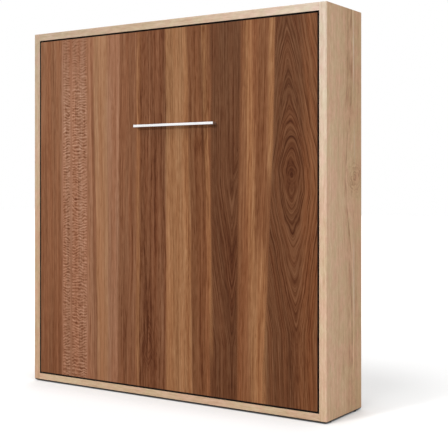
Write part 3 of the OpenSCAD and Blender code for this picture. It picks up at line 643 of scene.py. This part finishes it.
def oak_knot_lines(s, value, depth, flow, bend, z, knot):
    """Adds to a value a side board's single lines, which break up here and there, and its knot."""
    value = s.plus(value, s.between(depth, BANDING_T, 0.06, 0.0, -0.022))
    sway = s.plus(s.minus(flow, FRONT_Y), bend)
    broken = s.between(s.noise(s.scaled(30.0, 30.0, 9.0), detail=2.0), 0.35, 0.65, 0.20, 1.50)
    value = s.times_plus(named_streaks(s, sway, z, OAK_LINES), broken, value)
    far = s.times_plus(bend, 14.0, ellipse(s, depth, z, knot[:2], *knot[2:]))
    far = s.times_plus(s.noise(s.scaled(24.0, 24.0, 24.0)), 1.3, far)
    far = s.minus(far, 0.65)
    rings = s.times(ring_lines(s, far, OAK_RING, 1.3), s.between(far, 1.2, 2.7, 1.0, 0.0))
    value = s.times_plus(s.times(rings, broken), -OAK_RING_DEPTH, value)
    return s.minus(value, s.between(far, 0.1, 1.1, 0.05, 0.0, smooth=True))


def oak(name, along, banding_tone, seed=0.0, knot=None):
    """Light oak decor with its grain along X or Z. A side board's lines run round its knot."""
    s = Shader(name, Roughness=0.55, Specular_IOR_Level=0.2)
    width, y, height = s.split(s.place)
    depth = s.minus(y, FRONT_Y)
    x, z = (height, width) if along == "X" else (width, height)
    flow = round_knot(s, y, depth, height, knot) if knot else y
    x_seeded = s.plus(x, seed)
    z_seeded = s.plus(z, seed)
    place = s.join(x_seeded, s.plus(flow, seed), z_seeded)
    bend = s.noise(s.scaled(6.0, 6.0, 1.1, place), detail=2.0)
    bend = s.times_plus(bend, 2 * OAK_BEND, -OAK_BEND)
    bent = s.join(s.plus(x_seeded, bend), s.plus(flow, bend), z_seeded)
    broad = s.noise(s.scaled(16.0, 16.0, 1.4, bent))
    medium = s.noise(s.scaled(62.0, 62.0, 1.6, bent), detail=2.0, roughness=0.6)
    streaks = s.noise(s.scaled(170.0, 170.0, 3.0, bent), roughness=0.6)
    ripples = s.noise(s.scaled(80.0, 80.0, 24.0, place), roughness=0.7)
    pores = s.noise(s.scaled(700.0, 700.0, 16.0, bent), detail=1.0)

    front, middle, back = (srgb(*tone) for tone in OAK_TONES)
    drift = s.times_plus(s.spread(broad, 0.5), 0.45, s.over(depth, OAK_DEPTH))
    face, _ = s.ramp(drift, [(0.05, front), (0.50, middle), (0.85, back)])
    banding = oak_banding(s, width, height, banding_tone)
    colour = s.mix(s.between(depth, BANDING_T, 2 * BANDING_T, 1.0, 0.0), face, banding)

    value = 1.0
    for layer, strength in ((broad, 0.020), (medium, 0.050), (streaks, 0.105), (ripples, 0.120)):
        value = s.times_plus(s.spread(layer, 1.0), strength, value)
    value = s.minus(value, s.between(pores, 0.62, 0.75, 0.0, 0.12))
    # Painted shade: darker towards the floor and towards the top
    value = s.plus(value, s.between(height, 0.0, 1.1, -0.080, -0.010))
    value = s.plus(value, s.between(height, 1.5, CABINET_H, 0.0, -0.045))
    if knot:
        value = oak_knot_lines(s, value, depth, flow, bend, z, knot)
    hue = s.noise(s.scaled(15.0, 15.0, 9.0, place), roughness=0.6)
    colour = two_hues(s, colour, hue, (249, 254, 245), (255, 247, 246))
    if knot:
        glints = named_streaks(s, s.plus(depth, bend), z, OAK_GLINTS)
        colour = s.mix(glints, colour, srgb(*OAK_GLINT))
    s.set("Base Color", s.wood(colour, value))
    s.bump(s.minus(streaks, s.between(pores, 0.60, 0.75)), 0.0003, 0.4)
    return s.material


def birch():
    """Lacquered birch, grain along X."""
    s = Shader("birch", Roughness=0.35)
    streaks = s.noise(s.scaled(3.0, 160.0, 160.0))
    broad = s.noise(s.scaled(1.5, 30.0, 30.0), detail=2.0)
    colour, _ = s.ramp(broad, [(0.3, srgb(214, 184, 142)), (0.7, srgb(231, 207, 170))])
    s.set("Base Color", s.tinted(colour, s.between(streaks, 0.3, 0.7, 0.90, 1.06)))
    s.bump(streaks, 0.0002, 0.4)
    return s.material


def metal(name, colour, roughness, stretch=(60.0, 60.0, 60.0), contrast=0.08):
    """Metal whose gloss and tone vary along brush marks or in patches."""
    s = Shader(name, Metallic=1.0)
    marks = s.noise(s.scaled(*stretch), detail=4.0, roughness=0.6)
    patches = s.noise(s.scaled(9.0, 9.0, 9.0), detail=2.0)
    brushed = s.between(marks, 0.3, 0.7, 1.0 - contrast, 1.0 + contrast)
    value = s.plus(brushed, s.spread(patches, contrast / 2))
    s.set("Base Color", s.tinted(srgb(*colour), value))
    s.set("Roughness", s.between(marks, 0.3, 0.7, roughness * 0.8, roughness * 1.25))
    s.bump(marks, 0.00008, 0.3)
    return s.material


def coating(name, colour, roughness, grain, depth, specular=0.5):
    """Paint, plastic or rubber with a fine surface texture."""
    s = Shader(name, Specular_IOR_Level=specular)
    texture = s.noise(s.scaled(grain, grain, grain), detail=2.0)
    patches = s.noise(s.scaled(7.0, 7.0, 7.0))
    s.set("Base Color", s.tinted(srgb(*colour), s.between(patches, 0.3, 0.7, 0.85, 1.15)))
    s.set("Roughness", s.between(patches, 0.3, 0.7, roughness * 0.9, roughness * 1.1))
    s.bump(texture, depth, 0.5)
    return s.material


# Loops of the ticking, and ribs and threads of the webbing, in metres
LOOP_W = 0.0032
LOOP_H = 0.0026
RIB_PITCH = 0.0040
THREAD_PITCH = 0.0022


def ticking():
    """Knitted mattress ticking: fine loops in rows."""
    s = Shader("ticking", Roughness=0.85, Sheen_Weight=0.25)
    x, y, z = s.split(s.place)
    rows = s.math("SINE", s.times(s.plus(x, y), math.tau / LOOP_W))
    columns = s.math("SINE", s.times(s.plus(z, y), math.tau / LOOP_H))
    loops = s.times(rows, columns)
    patches = s.noise(s.scaled(5.0, 5.0, 5.0))
    fuzz = s.noise(s.scaled(900.0, 900.0, 900.0), detail=1.0)
    value = s.plus(s.between(loops, -1.0, 1.0, 0.95, 1.02), s.spread(patches, 0.02))
    s.set("Base Color", s.tinted(srgb(228, 225, 218), value))
    s.bump(s.plus(loops, fuzz), 0.0006, 0.5)
    return s.material


def webbing(name, colour):
    """Woven elastic band: ribs along it and threads across."""
    s = Shader(name, Roughness=0.8, Sheen_Weight=0.15)
    x, y, z = s.split(s.place)
    ribs = s.math("SINE", s.times(z, math.tau / RIB_PITCH))
    threads = s.math("SINE", s.times(s.plus(x, y), math.tau / THREAD_PITCH))
    weave = s.plus(ribs, s.times(threads, 0.5))
    s.set("Base Color", s.tinted(srgb(*colour), s.between(weave, -1.5, 1.5, 0.75, 1.2)))
    s.bump(weave, 0.0005, 0.6)
    return s.material


def new_piece(name, mesh, material, node, body, smooth=False):
    """Adds a mesh as a piece that rides on a body and stands for a CAD node."""
    piece = bpy.data.objects.new(name, mesh)
    bpy.context.scene.collection.objects.link(piece)
    mesh.materials.append(material)
    for face in mesh.polygons:
        face.use_smooth = smooth
    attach(piece, body)
    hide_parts(node)
    return piece


def made_mesh(name, shape):
    """Turns a shape under construction into a mesh."""
    mesh = bpy.data.meshes.new(name)
    shape.to_mesh(mesh)
    shape.free()
    return mesh


def eased_box(shape, low, high, edge, segments=2):
    """Adds a box with eased edges to a shape under construction."""
    made = bmesh.ops.create_cube(shape, size=1.0)["verts"]
    for vertex in made:
        for axis in range(3):
            vertex.co[axis] = low[axis] if vertex.co[axis] < 0 else high[axis]
    edges = list({e for vertex in made for e in vertex.link_edges})
    bmesh.ops.bevel(shape, geom=made + edges, offset=edge, segments=segments, profile=0.5, affect="EDGES")


def board(name, node, material, body, edge, lift=0):
    """A board with its long edges eased by a small radius, and its foot lifted."""
    low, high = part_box(node)
    low.z += lift
    shape = bmesh.new()
    eased_box(shape, low, high, edge, segments=3)
    return new_piece(name, made_mesh(name, shape), material, node, body, smooth=True)


# Black plastic strips under the boards that stand on the floor; their black also paints the shade line
# along the cabinet's foot
STRIP_H = 0.006
STRIP_INSET = 0.002
STRIP_EDGE = 0.0008


def shade_line_foot_strip(name, node):
    """A black plastic strip under a board, which keeps it off the floor; its black also paints the shade
    line at the board's foot.
    """
    low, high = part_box(node)
    shape = bmesh.new()
    eased_box(shape, (low.x + STRIP_INSET, low.y + STRIP_INSET, low.z),
              (high.x - STRIP_INSET, high.y - STRIP_INSET, low.z + STRIP_H), STRIP_EDGE)
    piece = new_piece(name, made_mesh(name, shape), BLACK_PLASTIC, node, "cabinet")
    return piece


def weighted(piece):
    """Keeps big faces flat where edges are eased."""
    modifier = piece.modifiers.new("flat_faces", "WEIGHTED_NORMAL")
    modifier.keep_sharp = True
    return piece


# Finishes of the cabinet and the bed
OAK_UPRIGHT = oak("oak_upright", "Z", OAK_BANDING, knot=OAK_KNOT)
OAK_LEFT = oak("oak_left", "Z", OAK_BANDING_LEFT, seed=5.0)
OAK_LEVEL = oak("oak_level", "X", OAK_BANDING_LEVEL, seed=3.0)
WALNUT = walnut_decor()
STEEL = metal("brushed_steel", (225, 225, 226), 0.30, stretch=(6.0, 900.0, 900.0), contrast=0.05)
ZINC = metal("zinc_plate", (176, 179, 183), 0.38, stretch=(140.0, 140.0, 140.0), contrast=0.10)
CHROME = metal("chrome", (228, 229, 231), 0.12, stretch=(300.0, 300.0, 20.0), contrast=0.03)
BRONZE = metal("bronze", (178, 132, 82), 0.40)
FRAME_PAINT = coating("frame_paint", (88, 91, 95), 0.45, 1500.0, 0.0002)
BLACK_PAINT = coating("black_paint", (26, 26, 27), 0.25, 1200.0, 0.0001)
BLACK_PLASTIC = coating("black_plastic", (34, 31, 29), 0.55, 1800.0, 0.0003, specular=0.25)
RUBBER = coating("rubber", (34, 26, 21), 0.95, 1300.0, 0.0004, specular=0.10)
BIRCH = birch()
TICKING = ticking()
PIPING_CLOTH = coating("piping_cloth", (198, 195, 187), 0.8, 900.0, 0.0003)
WEBBING = webbing("webbing", (72, 75, 80))

FINISHES = {
    "oak": OAK_UPRIGHT, "walnut": WALNUT, "birch": BIRCH, "bright_steel": STEEL, "zinc_steel": ZINC,
    "frame_paint": FRAME_PAINT, "black_paint": BLACK_PAINT, "chrome_rod": CHROME,
    "black_plastic": BLACK_PLASTIC, "rubber": RUBBER, "bronze": BRONZE, "ticking": TICKING,
    "webbing": WEBBING,
}
for entry in frame["record"]["subparts"]:
    node = frame["nodes"][entry["node"]]
    node.data.materials.clear()
    node.data.materials.append(FINISHES[entry["material_slot"]])

# Boards. Those on the floor stand on plastic strips, whose black also paints the shade line at their foot
BOARD_EDGE = 0.0012
HANDLE_EDGE = 0.0010
for node_name, finish, lift in (("side_left", OAK_LEFT, STRIP_H), ("side_right", OAK_UPRIGHT, STRIP_H),
                                ("top_board", OAK_LEVEL, 0), ("bottom_board", OAK_LEVEL, STRIP_H),
                                ("upper_back_rail", OAK_LEVEL, 0), ("lower_back_rail", OAK_LEVEL, 0),
                                ("headboard", OAK_LEVEL, 0)):
    weighted(board("oak_" + node_name, node_name, finish, "cabinet", BOARD_EDGE, lift))
    if lift:
        shade_line_foot_strip("shade_line_foot_strip_" + node_name, node_name)
weighted(board("walnut_front", "front_panel", WALNUT, "bed", BOARD_EDGE))
for node_name in ("handle_bar", "handle_post_left", "handle_post_right"):
    weighted(board("steel_" + node_name, node_name, STEEL, "bed", HANDLE_EDGE))


def mesh_of(name, points, faces):
    """A mesh from points and faces, with all faces turned outwards."""
    mesh = bpy.data.meshes.new(name)
    mesh.from_pydata(points, [], faces)
    shape = bmesh.new()
    shape.from_mesh(mesh)
    bmesh.ops.recalc_face_normals(shape, faces=shape.faces[:])
    shape.to_mesh(mesh)
    shape.free()
    return mesh


def swept(name, path, section, closed=False):
    """A tube: at each place of a path (point, across, up) it draws a section of (across, up) pairs."""
    points = []
    for place, across, up in path:
        points += [place + across * a + up * b for a, b in section]
    size = len(section)
    rows = len(path)
    faces = []
    for row in range(rows if closed else rows - 1):
        here = row * size
        there = (row + 1) % rows * size
        for k in range(size):
            faces.append((here + k, here + (k + 1) % size, there + (k + 1) % size, there + k))
    if not closed:
        faces.append(tuple(range(size)))
        faces.append(tuple(range((rows - 1) * size, rows * size)))
    return mesh_of(name, points, faces)


# Mattress: quilted faces in diamonds, a stitched border, and a piping round each face
CELLS_ACROSS = 130
CELLS_UP = 140
DIAMOND = 10
MATTRESS_CORNER = 0.060
PIPING = 0.0045
QUILT_DEPTH = 0.0085
QUILT_DEPTH_UNDER = 0.003
SHOULDER_DROP = 0.014
SHOULDER_WIDTH = 0.040
BORDER_ROWS = 18
BORDER_SWELL = 0.0035
BORDER_STITCH = 0.0022
BORDER_PUCKER = 0.0005
PUCKER_PITCH = 0.060
RIPPLE = 0.0006
RIPPLES_PER_METRE = 9
PIPING_SIDES = 8


def mattress_outline(low, high):
    """Grid of (x, z, distance from the edge) that fills the outline with rounded corners."""
    wide = (high.x - low.x - 2 * PIPING) / CELLS_ACROSS
    tall = (high.z - low.z - 2 * PIPING) / CELLS_UP
    grid = []
    for i in range(CELLS_ACROSS + 1):
        column = []
        for j in range(CELLS_UP + 1):
            x = low.x + PIPING + wide * i
            z = low.z + PIPING + tall * j
            edge = min(wide * min(i, CELLS_ACROSS - i), tall * min(j, CELLS_UP - j))
            corner_x = max(low.x + MATTRESS_CORNER, min(x, high.x - MATTRESS_CORNER))
            corner_z = max(low.z + MATTRESS_CORNER, min(z, high.z - MATTRESS_CORNER))
            dx = x - corner_x
            dz = z - corner_z
            far = math.hypot(dx, dz)
            if far > 0:
                pull = max(abs(dx), abs(dz)) / far
                x = corner_x + dx * pull
                z = corner_z + dz * pull
            column.append((x, z, edge))
        grid.append(column)
    return grid


def quilting(i, j, edge):
    """How low a diamond's surface lies, 0 in its middle and 1 on its stitching, less near the edge."""
    nearest = min(min(d % DIAMOND, -d % DIAMOND) for d in (i + j, i - j))
    low = (1 - 2 * nearest / DIAMOND) ** 2.0
    return low * min(1, edge / SHOULDER_WIDTH)


def shoulder(edge):
    """Drop of a face towards its piping."""
    share = 1 - min(1, edge / SHOULDER_WIDTH)
    return SHOULDER_DROP * (1 - math.sqrt(max(0, 1 - share * share)))


def quilted_mattress():
    """The mattress: two quilted faces joined by a stitched border, and its piping."""
    low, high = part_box("mattress")
    grid = mattress_outline(low, high)
    points = []
    number = {}
    for i in range(CELLS_ACROSS + 1):
        for j in range(CELLS_UP + 1):
            x, z, edge = grid[i][j]
            crease = quilting(i, j, edge)
            ripple = RIPPLE * noise.noise(Vector((x * RIPPLES_PER_METRE, z * RIPPLES_PER_METRE, 0)))
            number[i, j, "top"] = len(points)
            points.append((x, high.y - RIPPLE - crease * QUILT_DEPTH - shoulder(edge) + ripple, z))
            number[i, j, "under"] = len(points)
            points.append((x, low.y + crease * QUILT_DEPTH_UNDER + shoulder(edge), z))
    faces = []
    for i in range(CELLS_ACROSS):
        for j in range(CELLS_UP):
            for side in ("top", "under"):
                corners = ((i, j), (i + 1, j), (i + 1, j + 1), (i, j + 1))
                faces.append([number[a, b, side] for a, b in corners])

    # Border, from one face's edge to the other's
    rim = [(i, 0) for i in range(CELLS_ACROSS)] + [(CELLS_ACROSS, j) for j in range(CELLS_UP)]
    rim += [(i, CELLS_UP) for i in range(CELLS_ACROSS, 0, -1)] + [(0, j) for j in range(CELLS_UP, 0, -1)]
    rows = [[number[i, j, "top"] for i, j in rim]]
    outward = []
    along = 0.0
    for k, (i, j) in enumerate(rim):
        before = grid[rim[k - 1][0]][rim[k - 1][1]]
        after = grid[rim[(k + 1) % len(rim)][0]][rim[(k + 1) % len(rim)][1]]
        way = Vector((after[0] - before[0], 0, after[1] - before[1]))
        along += way.length / 2
        outward.append((Vector((way.z, 0, -way.x)).normalized(), along))
    top_y = high.y - SHOULDER_DROP
    under_y = low.y + SHOULDER_DROP
    for row in range(1, BORDER_ROWS):
        share = row / BORDER_ROWS
        swell = BORDER_SWELL * math.sqrt(math.sin(math.pi * share))
        stitch = BORDER_STITCH if row in (BORDER_ROWS // 3, 2 * BORDER_ROWS // 3) else 0
        line = []
        for (i, j), (out, at) in zip(rim, outward):
            x, z, _ = grid[i][j]
            pucker = BORDER_PUCKER * math.sin(at / PUCKER_PITCH * math.tau)
            place = Vector((x, top_y + (under_y - top_y) * share, z)) + out * (swell - stitch + pucker)
            line.append(len(points))
            points.append(place)
        rows.append(line)
    rows.append([number[i, j, "under"] for i, j in rim])
    for upper, lower in zip(rows, rows[1:]):
        for k in range(len(rim)):
            after = (k + 1) % len(rim)
            faces.append((upper[k], upper[after], lower[after], lower[k]))
    piece = new_piece("quilted_mattress", mesh_of("quilted_mattress", points, faces),
                      TICKING, "mattress", "bed", smooth=True)

    # Piping round both faces
    ring = [(math.cos(a), math.sin(a)) for a in (math.tau * k / PIPING_SIDES for k in range(PIPING_SIDES))]
    section = [(PIPING * a, PIPING * b) for a, b in ring]
    for name, y in (("mattress_piping_top", top_y), ("mattress_piping_under", under_y)):
        path = []
        for (i, j), (out, at) in zip(rim, outward):
            x, z, _ = grid[i][j]
            path.append((Vector((x, y, z)), out, Vector((0, 1, 0))))
        tube = swept(name, path, section, closed=True)
        new_piece(name, tube, PIPING_CLOTH, "mattress", "bed", smooth=True)


# Straps over the mattress and their buckles
STRAP_T = 0.0022
STRAP_EDGE = 0.001
STRAP_BEND = 0.010
BEND_STEPS = 8
BUCKLE_EDGE = 0.0008
RELEASE_EDGE = 0.0004


def strap(name, low, high):
    """A flat elastic band from one side rail over the mattress to the other."""
    left = low.x + STRAP_T / 2
    right = high.x - STRAP_T / 2
    top = high.y - STRAP_T / 2
    middle_z = (low.z + high.z) / 2
    half = (high.z - low.z) / 2
    inner = half - STRAP_EDGE
    section = [(-STRAP_T / 2, -inner), (-STRAP_T / 4, -half), (STRAP_T / 4, -half), (STRAP_T / 2, -inner),
               (STRAP_T / 2, inner), (STRAP_T / 4, half), (-STRAP_T / 4, half), (-STRAP_T / 2, inner)]
    up = Vector((0, 0, 1))
    path = [(Vector((left, low.y, middle_z)), Vector((-1, 0, 0)), up)]
    for centre_x, start in ((left + STRAP_BEND, math.pi), (right - STRAP_BEND, math.pi / 2)):
        for step in range(BEND_STEPS + 1):
            angle = start - math.pi / 2 * step / BEND_STEPS
            out = Vector((math.cos(angle), math.sin(angle), 0))
            path.append((Vector((centre_x, top - STRAP_BEND, middle_z)) + out * STRAP_BEND, out, up))
    path.append((Vector((right, low.y, middle_z)), Vector((1, 0, 0)), up))
    return new_piece(name, swept(name, path, section), WEBBING, "mattress_straps", "bed")


def buckle(name, low, high):
    """A side-release buckle: a housing, two prongs at its sides, and bars that hold the band."""
    shape = bmesh.new()
    wide = high.x - low.x
    tall = high.z - low.z
    deep = high.y - low.y

    def part(x0, x1, z0, z1, y0, y1, edge=BUCKLE_EDGE):
        """A box given in shares of the buckle's own box."""
        eased_box(shape, (low.x + wide * x0, low.y + deep * y0, low.z + tall * z0),
                  (low.x + wide * x1, low.y + deep * y1, low.z + tall * z1), edge)

    def pair(x0, x1, z0, z1, y0, y1):
        """A box, and its mirror image at the other edge of the band."""
        part(x0, x1, z0, z1, y0, y1)
        part(x0, x1, 1 - z1, 1 - z0, y0, y1)

    # Housing and its release, prongs and their bridge, and a bar with two arms at each end
    part(0.30, 0.72, 0.06, 0.94, 0.0, 0.92)
    part(0.36, 0.66, 0.20, 0.80, 0.80, 1.0, RELEASE_EDGE)
    pair(0.44, 0.84, 0.0, 0.12, 0.15, 0.75)
    part(0.78, 0.86, 0.0, 1.0, 0.10, 0.80)
    part(0.93, 1.0, 0.04, 0.96, 0.0, 0.70)
    pair(0.80, 0.98, 0.04, 0.11, 0.0, 0.70)
    part(0.0, 0.07, 0.04, 0.96, 0.0, 0.70)
    pair(0.04, 0.34, 0.04, 0.12, 0.0, 0.70)
    return new_piece(name, made_mesh(name, shape), BLACK_PLASTIC, "strap_buckles", "bed")


def islands(node_name):
    """The boxes of a node's separate solids, from the lowest up."""
    shape = bmesh.new()
    shape.from_mesh(frame["nodes"][node_name].data)
    bmesh.ops.remove_doubles(shape, verts=shape.verts[:], dist=1e-6)
    left = set(shape.verts)
    found = []
    while left:
        group = [left.pop()]
        for vertex in group:
            for e in vertex.link_edges:
                other = e.other_vert(vertex)
                if other in left:
                    left.discard(other)
                    group.append(other)
        spans = [[vertex.co[axis] for vertex in group] for axis in range(3)]
        found.append((Vector([min(span) for span in spans]), Vector([max(span) for span in spans])))
    shape.free()
    return sorted(found, key=lambda pair: (round(pair[0].z, 4), round(pair[0].x, 4)))


quilted_mattress()
for count, (low, high) in enumerate(islands("mattress_straps")):
    strap(f"elastic_strap_{count + 1}", low, high)
for count, (low, high) in enumerate(islands("strap_buckles")):
    buckle(f"strap_buckle_{count + 1}", low, high)

# The photograph's camera, fitted to its straight edges, in cabinet heights from the front face's foot
CAMERA_ACROSS = 1.536
CAMERA_BACK = 2.046
CAMERA_UP = 0.569
CAMERA_TURN = 33.47
FOCAL_PIXELS = 971.8
HORIZON_ROW = 183.59
PHOTO_SIZE = 448
SENSOR = 36.0
camera_data = bpy.data.cameras.new("camera")
camera_data.sensor_width = SENSOR
camera_data.lens = FOCAL_PIXELS * SENSOR / PHOTO_SIZE
camera_data.shift_y = (HORIZON_ROW - PHOTO_SIZE / 2) / PHOTO_SIZE
camera = bpy.data.objects.new("camera", camera_data)
camera.location = (CAMERA_ACROSS * CABINET_H, FRONT_Y - CAMERA_BACK * CABINET_H, CAMERA_UP * CABINET_H)
camera.rotation_euler = (math.radians(90), 0, math.radians(CAMERA_TURN))
bpy.context.scene.collection.objects.link(camera)
bpy.context.scene.camera = camera

# Floor: white to the camera and in reflections, and keeps the shadows
FLOOR_REACH = 30.0
floor_mesh = bpy.data.meshes.new("floor")
corners = [(-1, -1), (1, -1), (1, 1), (-1, 1)]
floor_mesh.from_pydata([(x * FLOOR_REACH, y * FLOOR_REACH, 0) for x, y in corners], [], [(0, 1, 2, 3)])
floor = bpy.data.objects.new("floor", floor_mesh)
bpy.context.scene.collection.objects.link(floor)

# Its grey where it is seen and where it throws light back, its own glow, how much more it glows far
# away and where that starts and ends, and how far the shade in corners reaches
FLOOR_SEEN = 0.69
FLOOR_BOUNCE = 0.43
FLOOR_GLOW = 0.380
FAR_GLOW = 0.060
FAR_GLOW_REACH = (1.20, 1.85)
CREVICE = 0.30
floor_shader = Shader("floor_white", Roughness=1.0, Specular_IOR_Level=0.0)
floor_shader.set("Emission Color", (1.0, 1.0, 1.0, 1.0))
path = floor_shader.node("LightPath")
shown = floor_shader.math("MAXIMUM", path.outputs["Is Camera Ray"], path.outputs["Is Glossy Ray"])
shown = floor_shader.math("MAXIMUM", shown, path.outputs["Is Transmission Ray"])
tone = floor_shader.between(shown, 0.0, 1.0, FLOOR_BOUNCE, FLOOR_SEEN)
floor_shader.set("Base Color", floor_shader.join(tone, tone, tone))
crevice = floor_shader.node("AmbientOcclusion")
crevice.inputs["Distance"].default_value = CREVICE
floor_x, floor_y, _ = floor_shader.split(floor_shader.place)
away = ellipse(floor_shader, floor_x, floor_y, (0.0, 0.0), 1.0, 1.0)
glow = floor_shader.between(away, *FAR_GLOW_REACH, FLOOR_GLOW, FLOOR_GLOW + FAR_GLOW, smooth=True)
glow = floor_shader.times(crevice.outputs["AO"], glow)
floor_shader.set("Emission Strength", floor_shader.times(shown, glow))
floor_mesh.materials.append(floor_shader.material)

# World: soft light all round, white to the camera and in reflections
bpy.context.scene.view_settings.view_transform = "Standard"
world = bpy.data.worlds.new("studio")
world.use_nodes = True
bpy.context.scene.world = world
sky = world.node_tree
light_path = sky.nodes.new("ShaderNodeLightPath")
seen = light_path.outputs["Is Camera Ray"]
for ray in ("Is Glossy Ray", "Is Transmission Ray"):
    either = sky.nodes.new("ShaderNodeMath")
    either.operation = "MAXIMUM"
    sky.links.new(seen, either.inputs[0])
    sky.links.new(light_path.outputs[ray], either.inputs[1])
    seen = either.outputs[0]
AMBIENT = 0.19
level = sky.nodes.new("ShaderNodeMapRange")
level.inputs["To Min"].default_value = AMBIENT
level.inputs["To Max"].default_value = 1.0
sky.links.new(seen, level.inputs["Value"])
sky.links.new(level.outputs[0], sky.nodes["Background"].inputs["Strength"])
sky.nodes["Background"].inputs["Color"].default_value = (1.0, 1.0, 1.0, 1.0)


def sun(name, turn, rise, strength, softness):
    """A far lamp that shines from the front, turned to the left and raised by angles in degrees."""
    data = bpy.data.lights.new(name, "SUN")
    data.energy = strength
    data.angle = math.radians(softness)
    lamp = bpy.data.objects.new(name, data)
    lamp.rotation_euler = (math.radians(90 - rise), 0, -math.radians(turn))
    bpy.context.scene.collection.objects.link(lamp)


sun("key", 20.0, 28.0, 1.80, 13.0)
sun("top", 4.0, 62.0, 0.92, 22.0)
sun("fill", -75.0, 30.0, 1.38, 60.0)
sun("back", 158.0, 36.0, 0.95, 50.0)
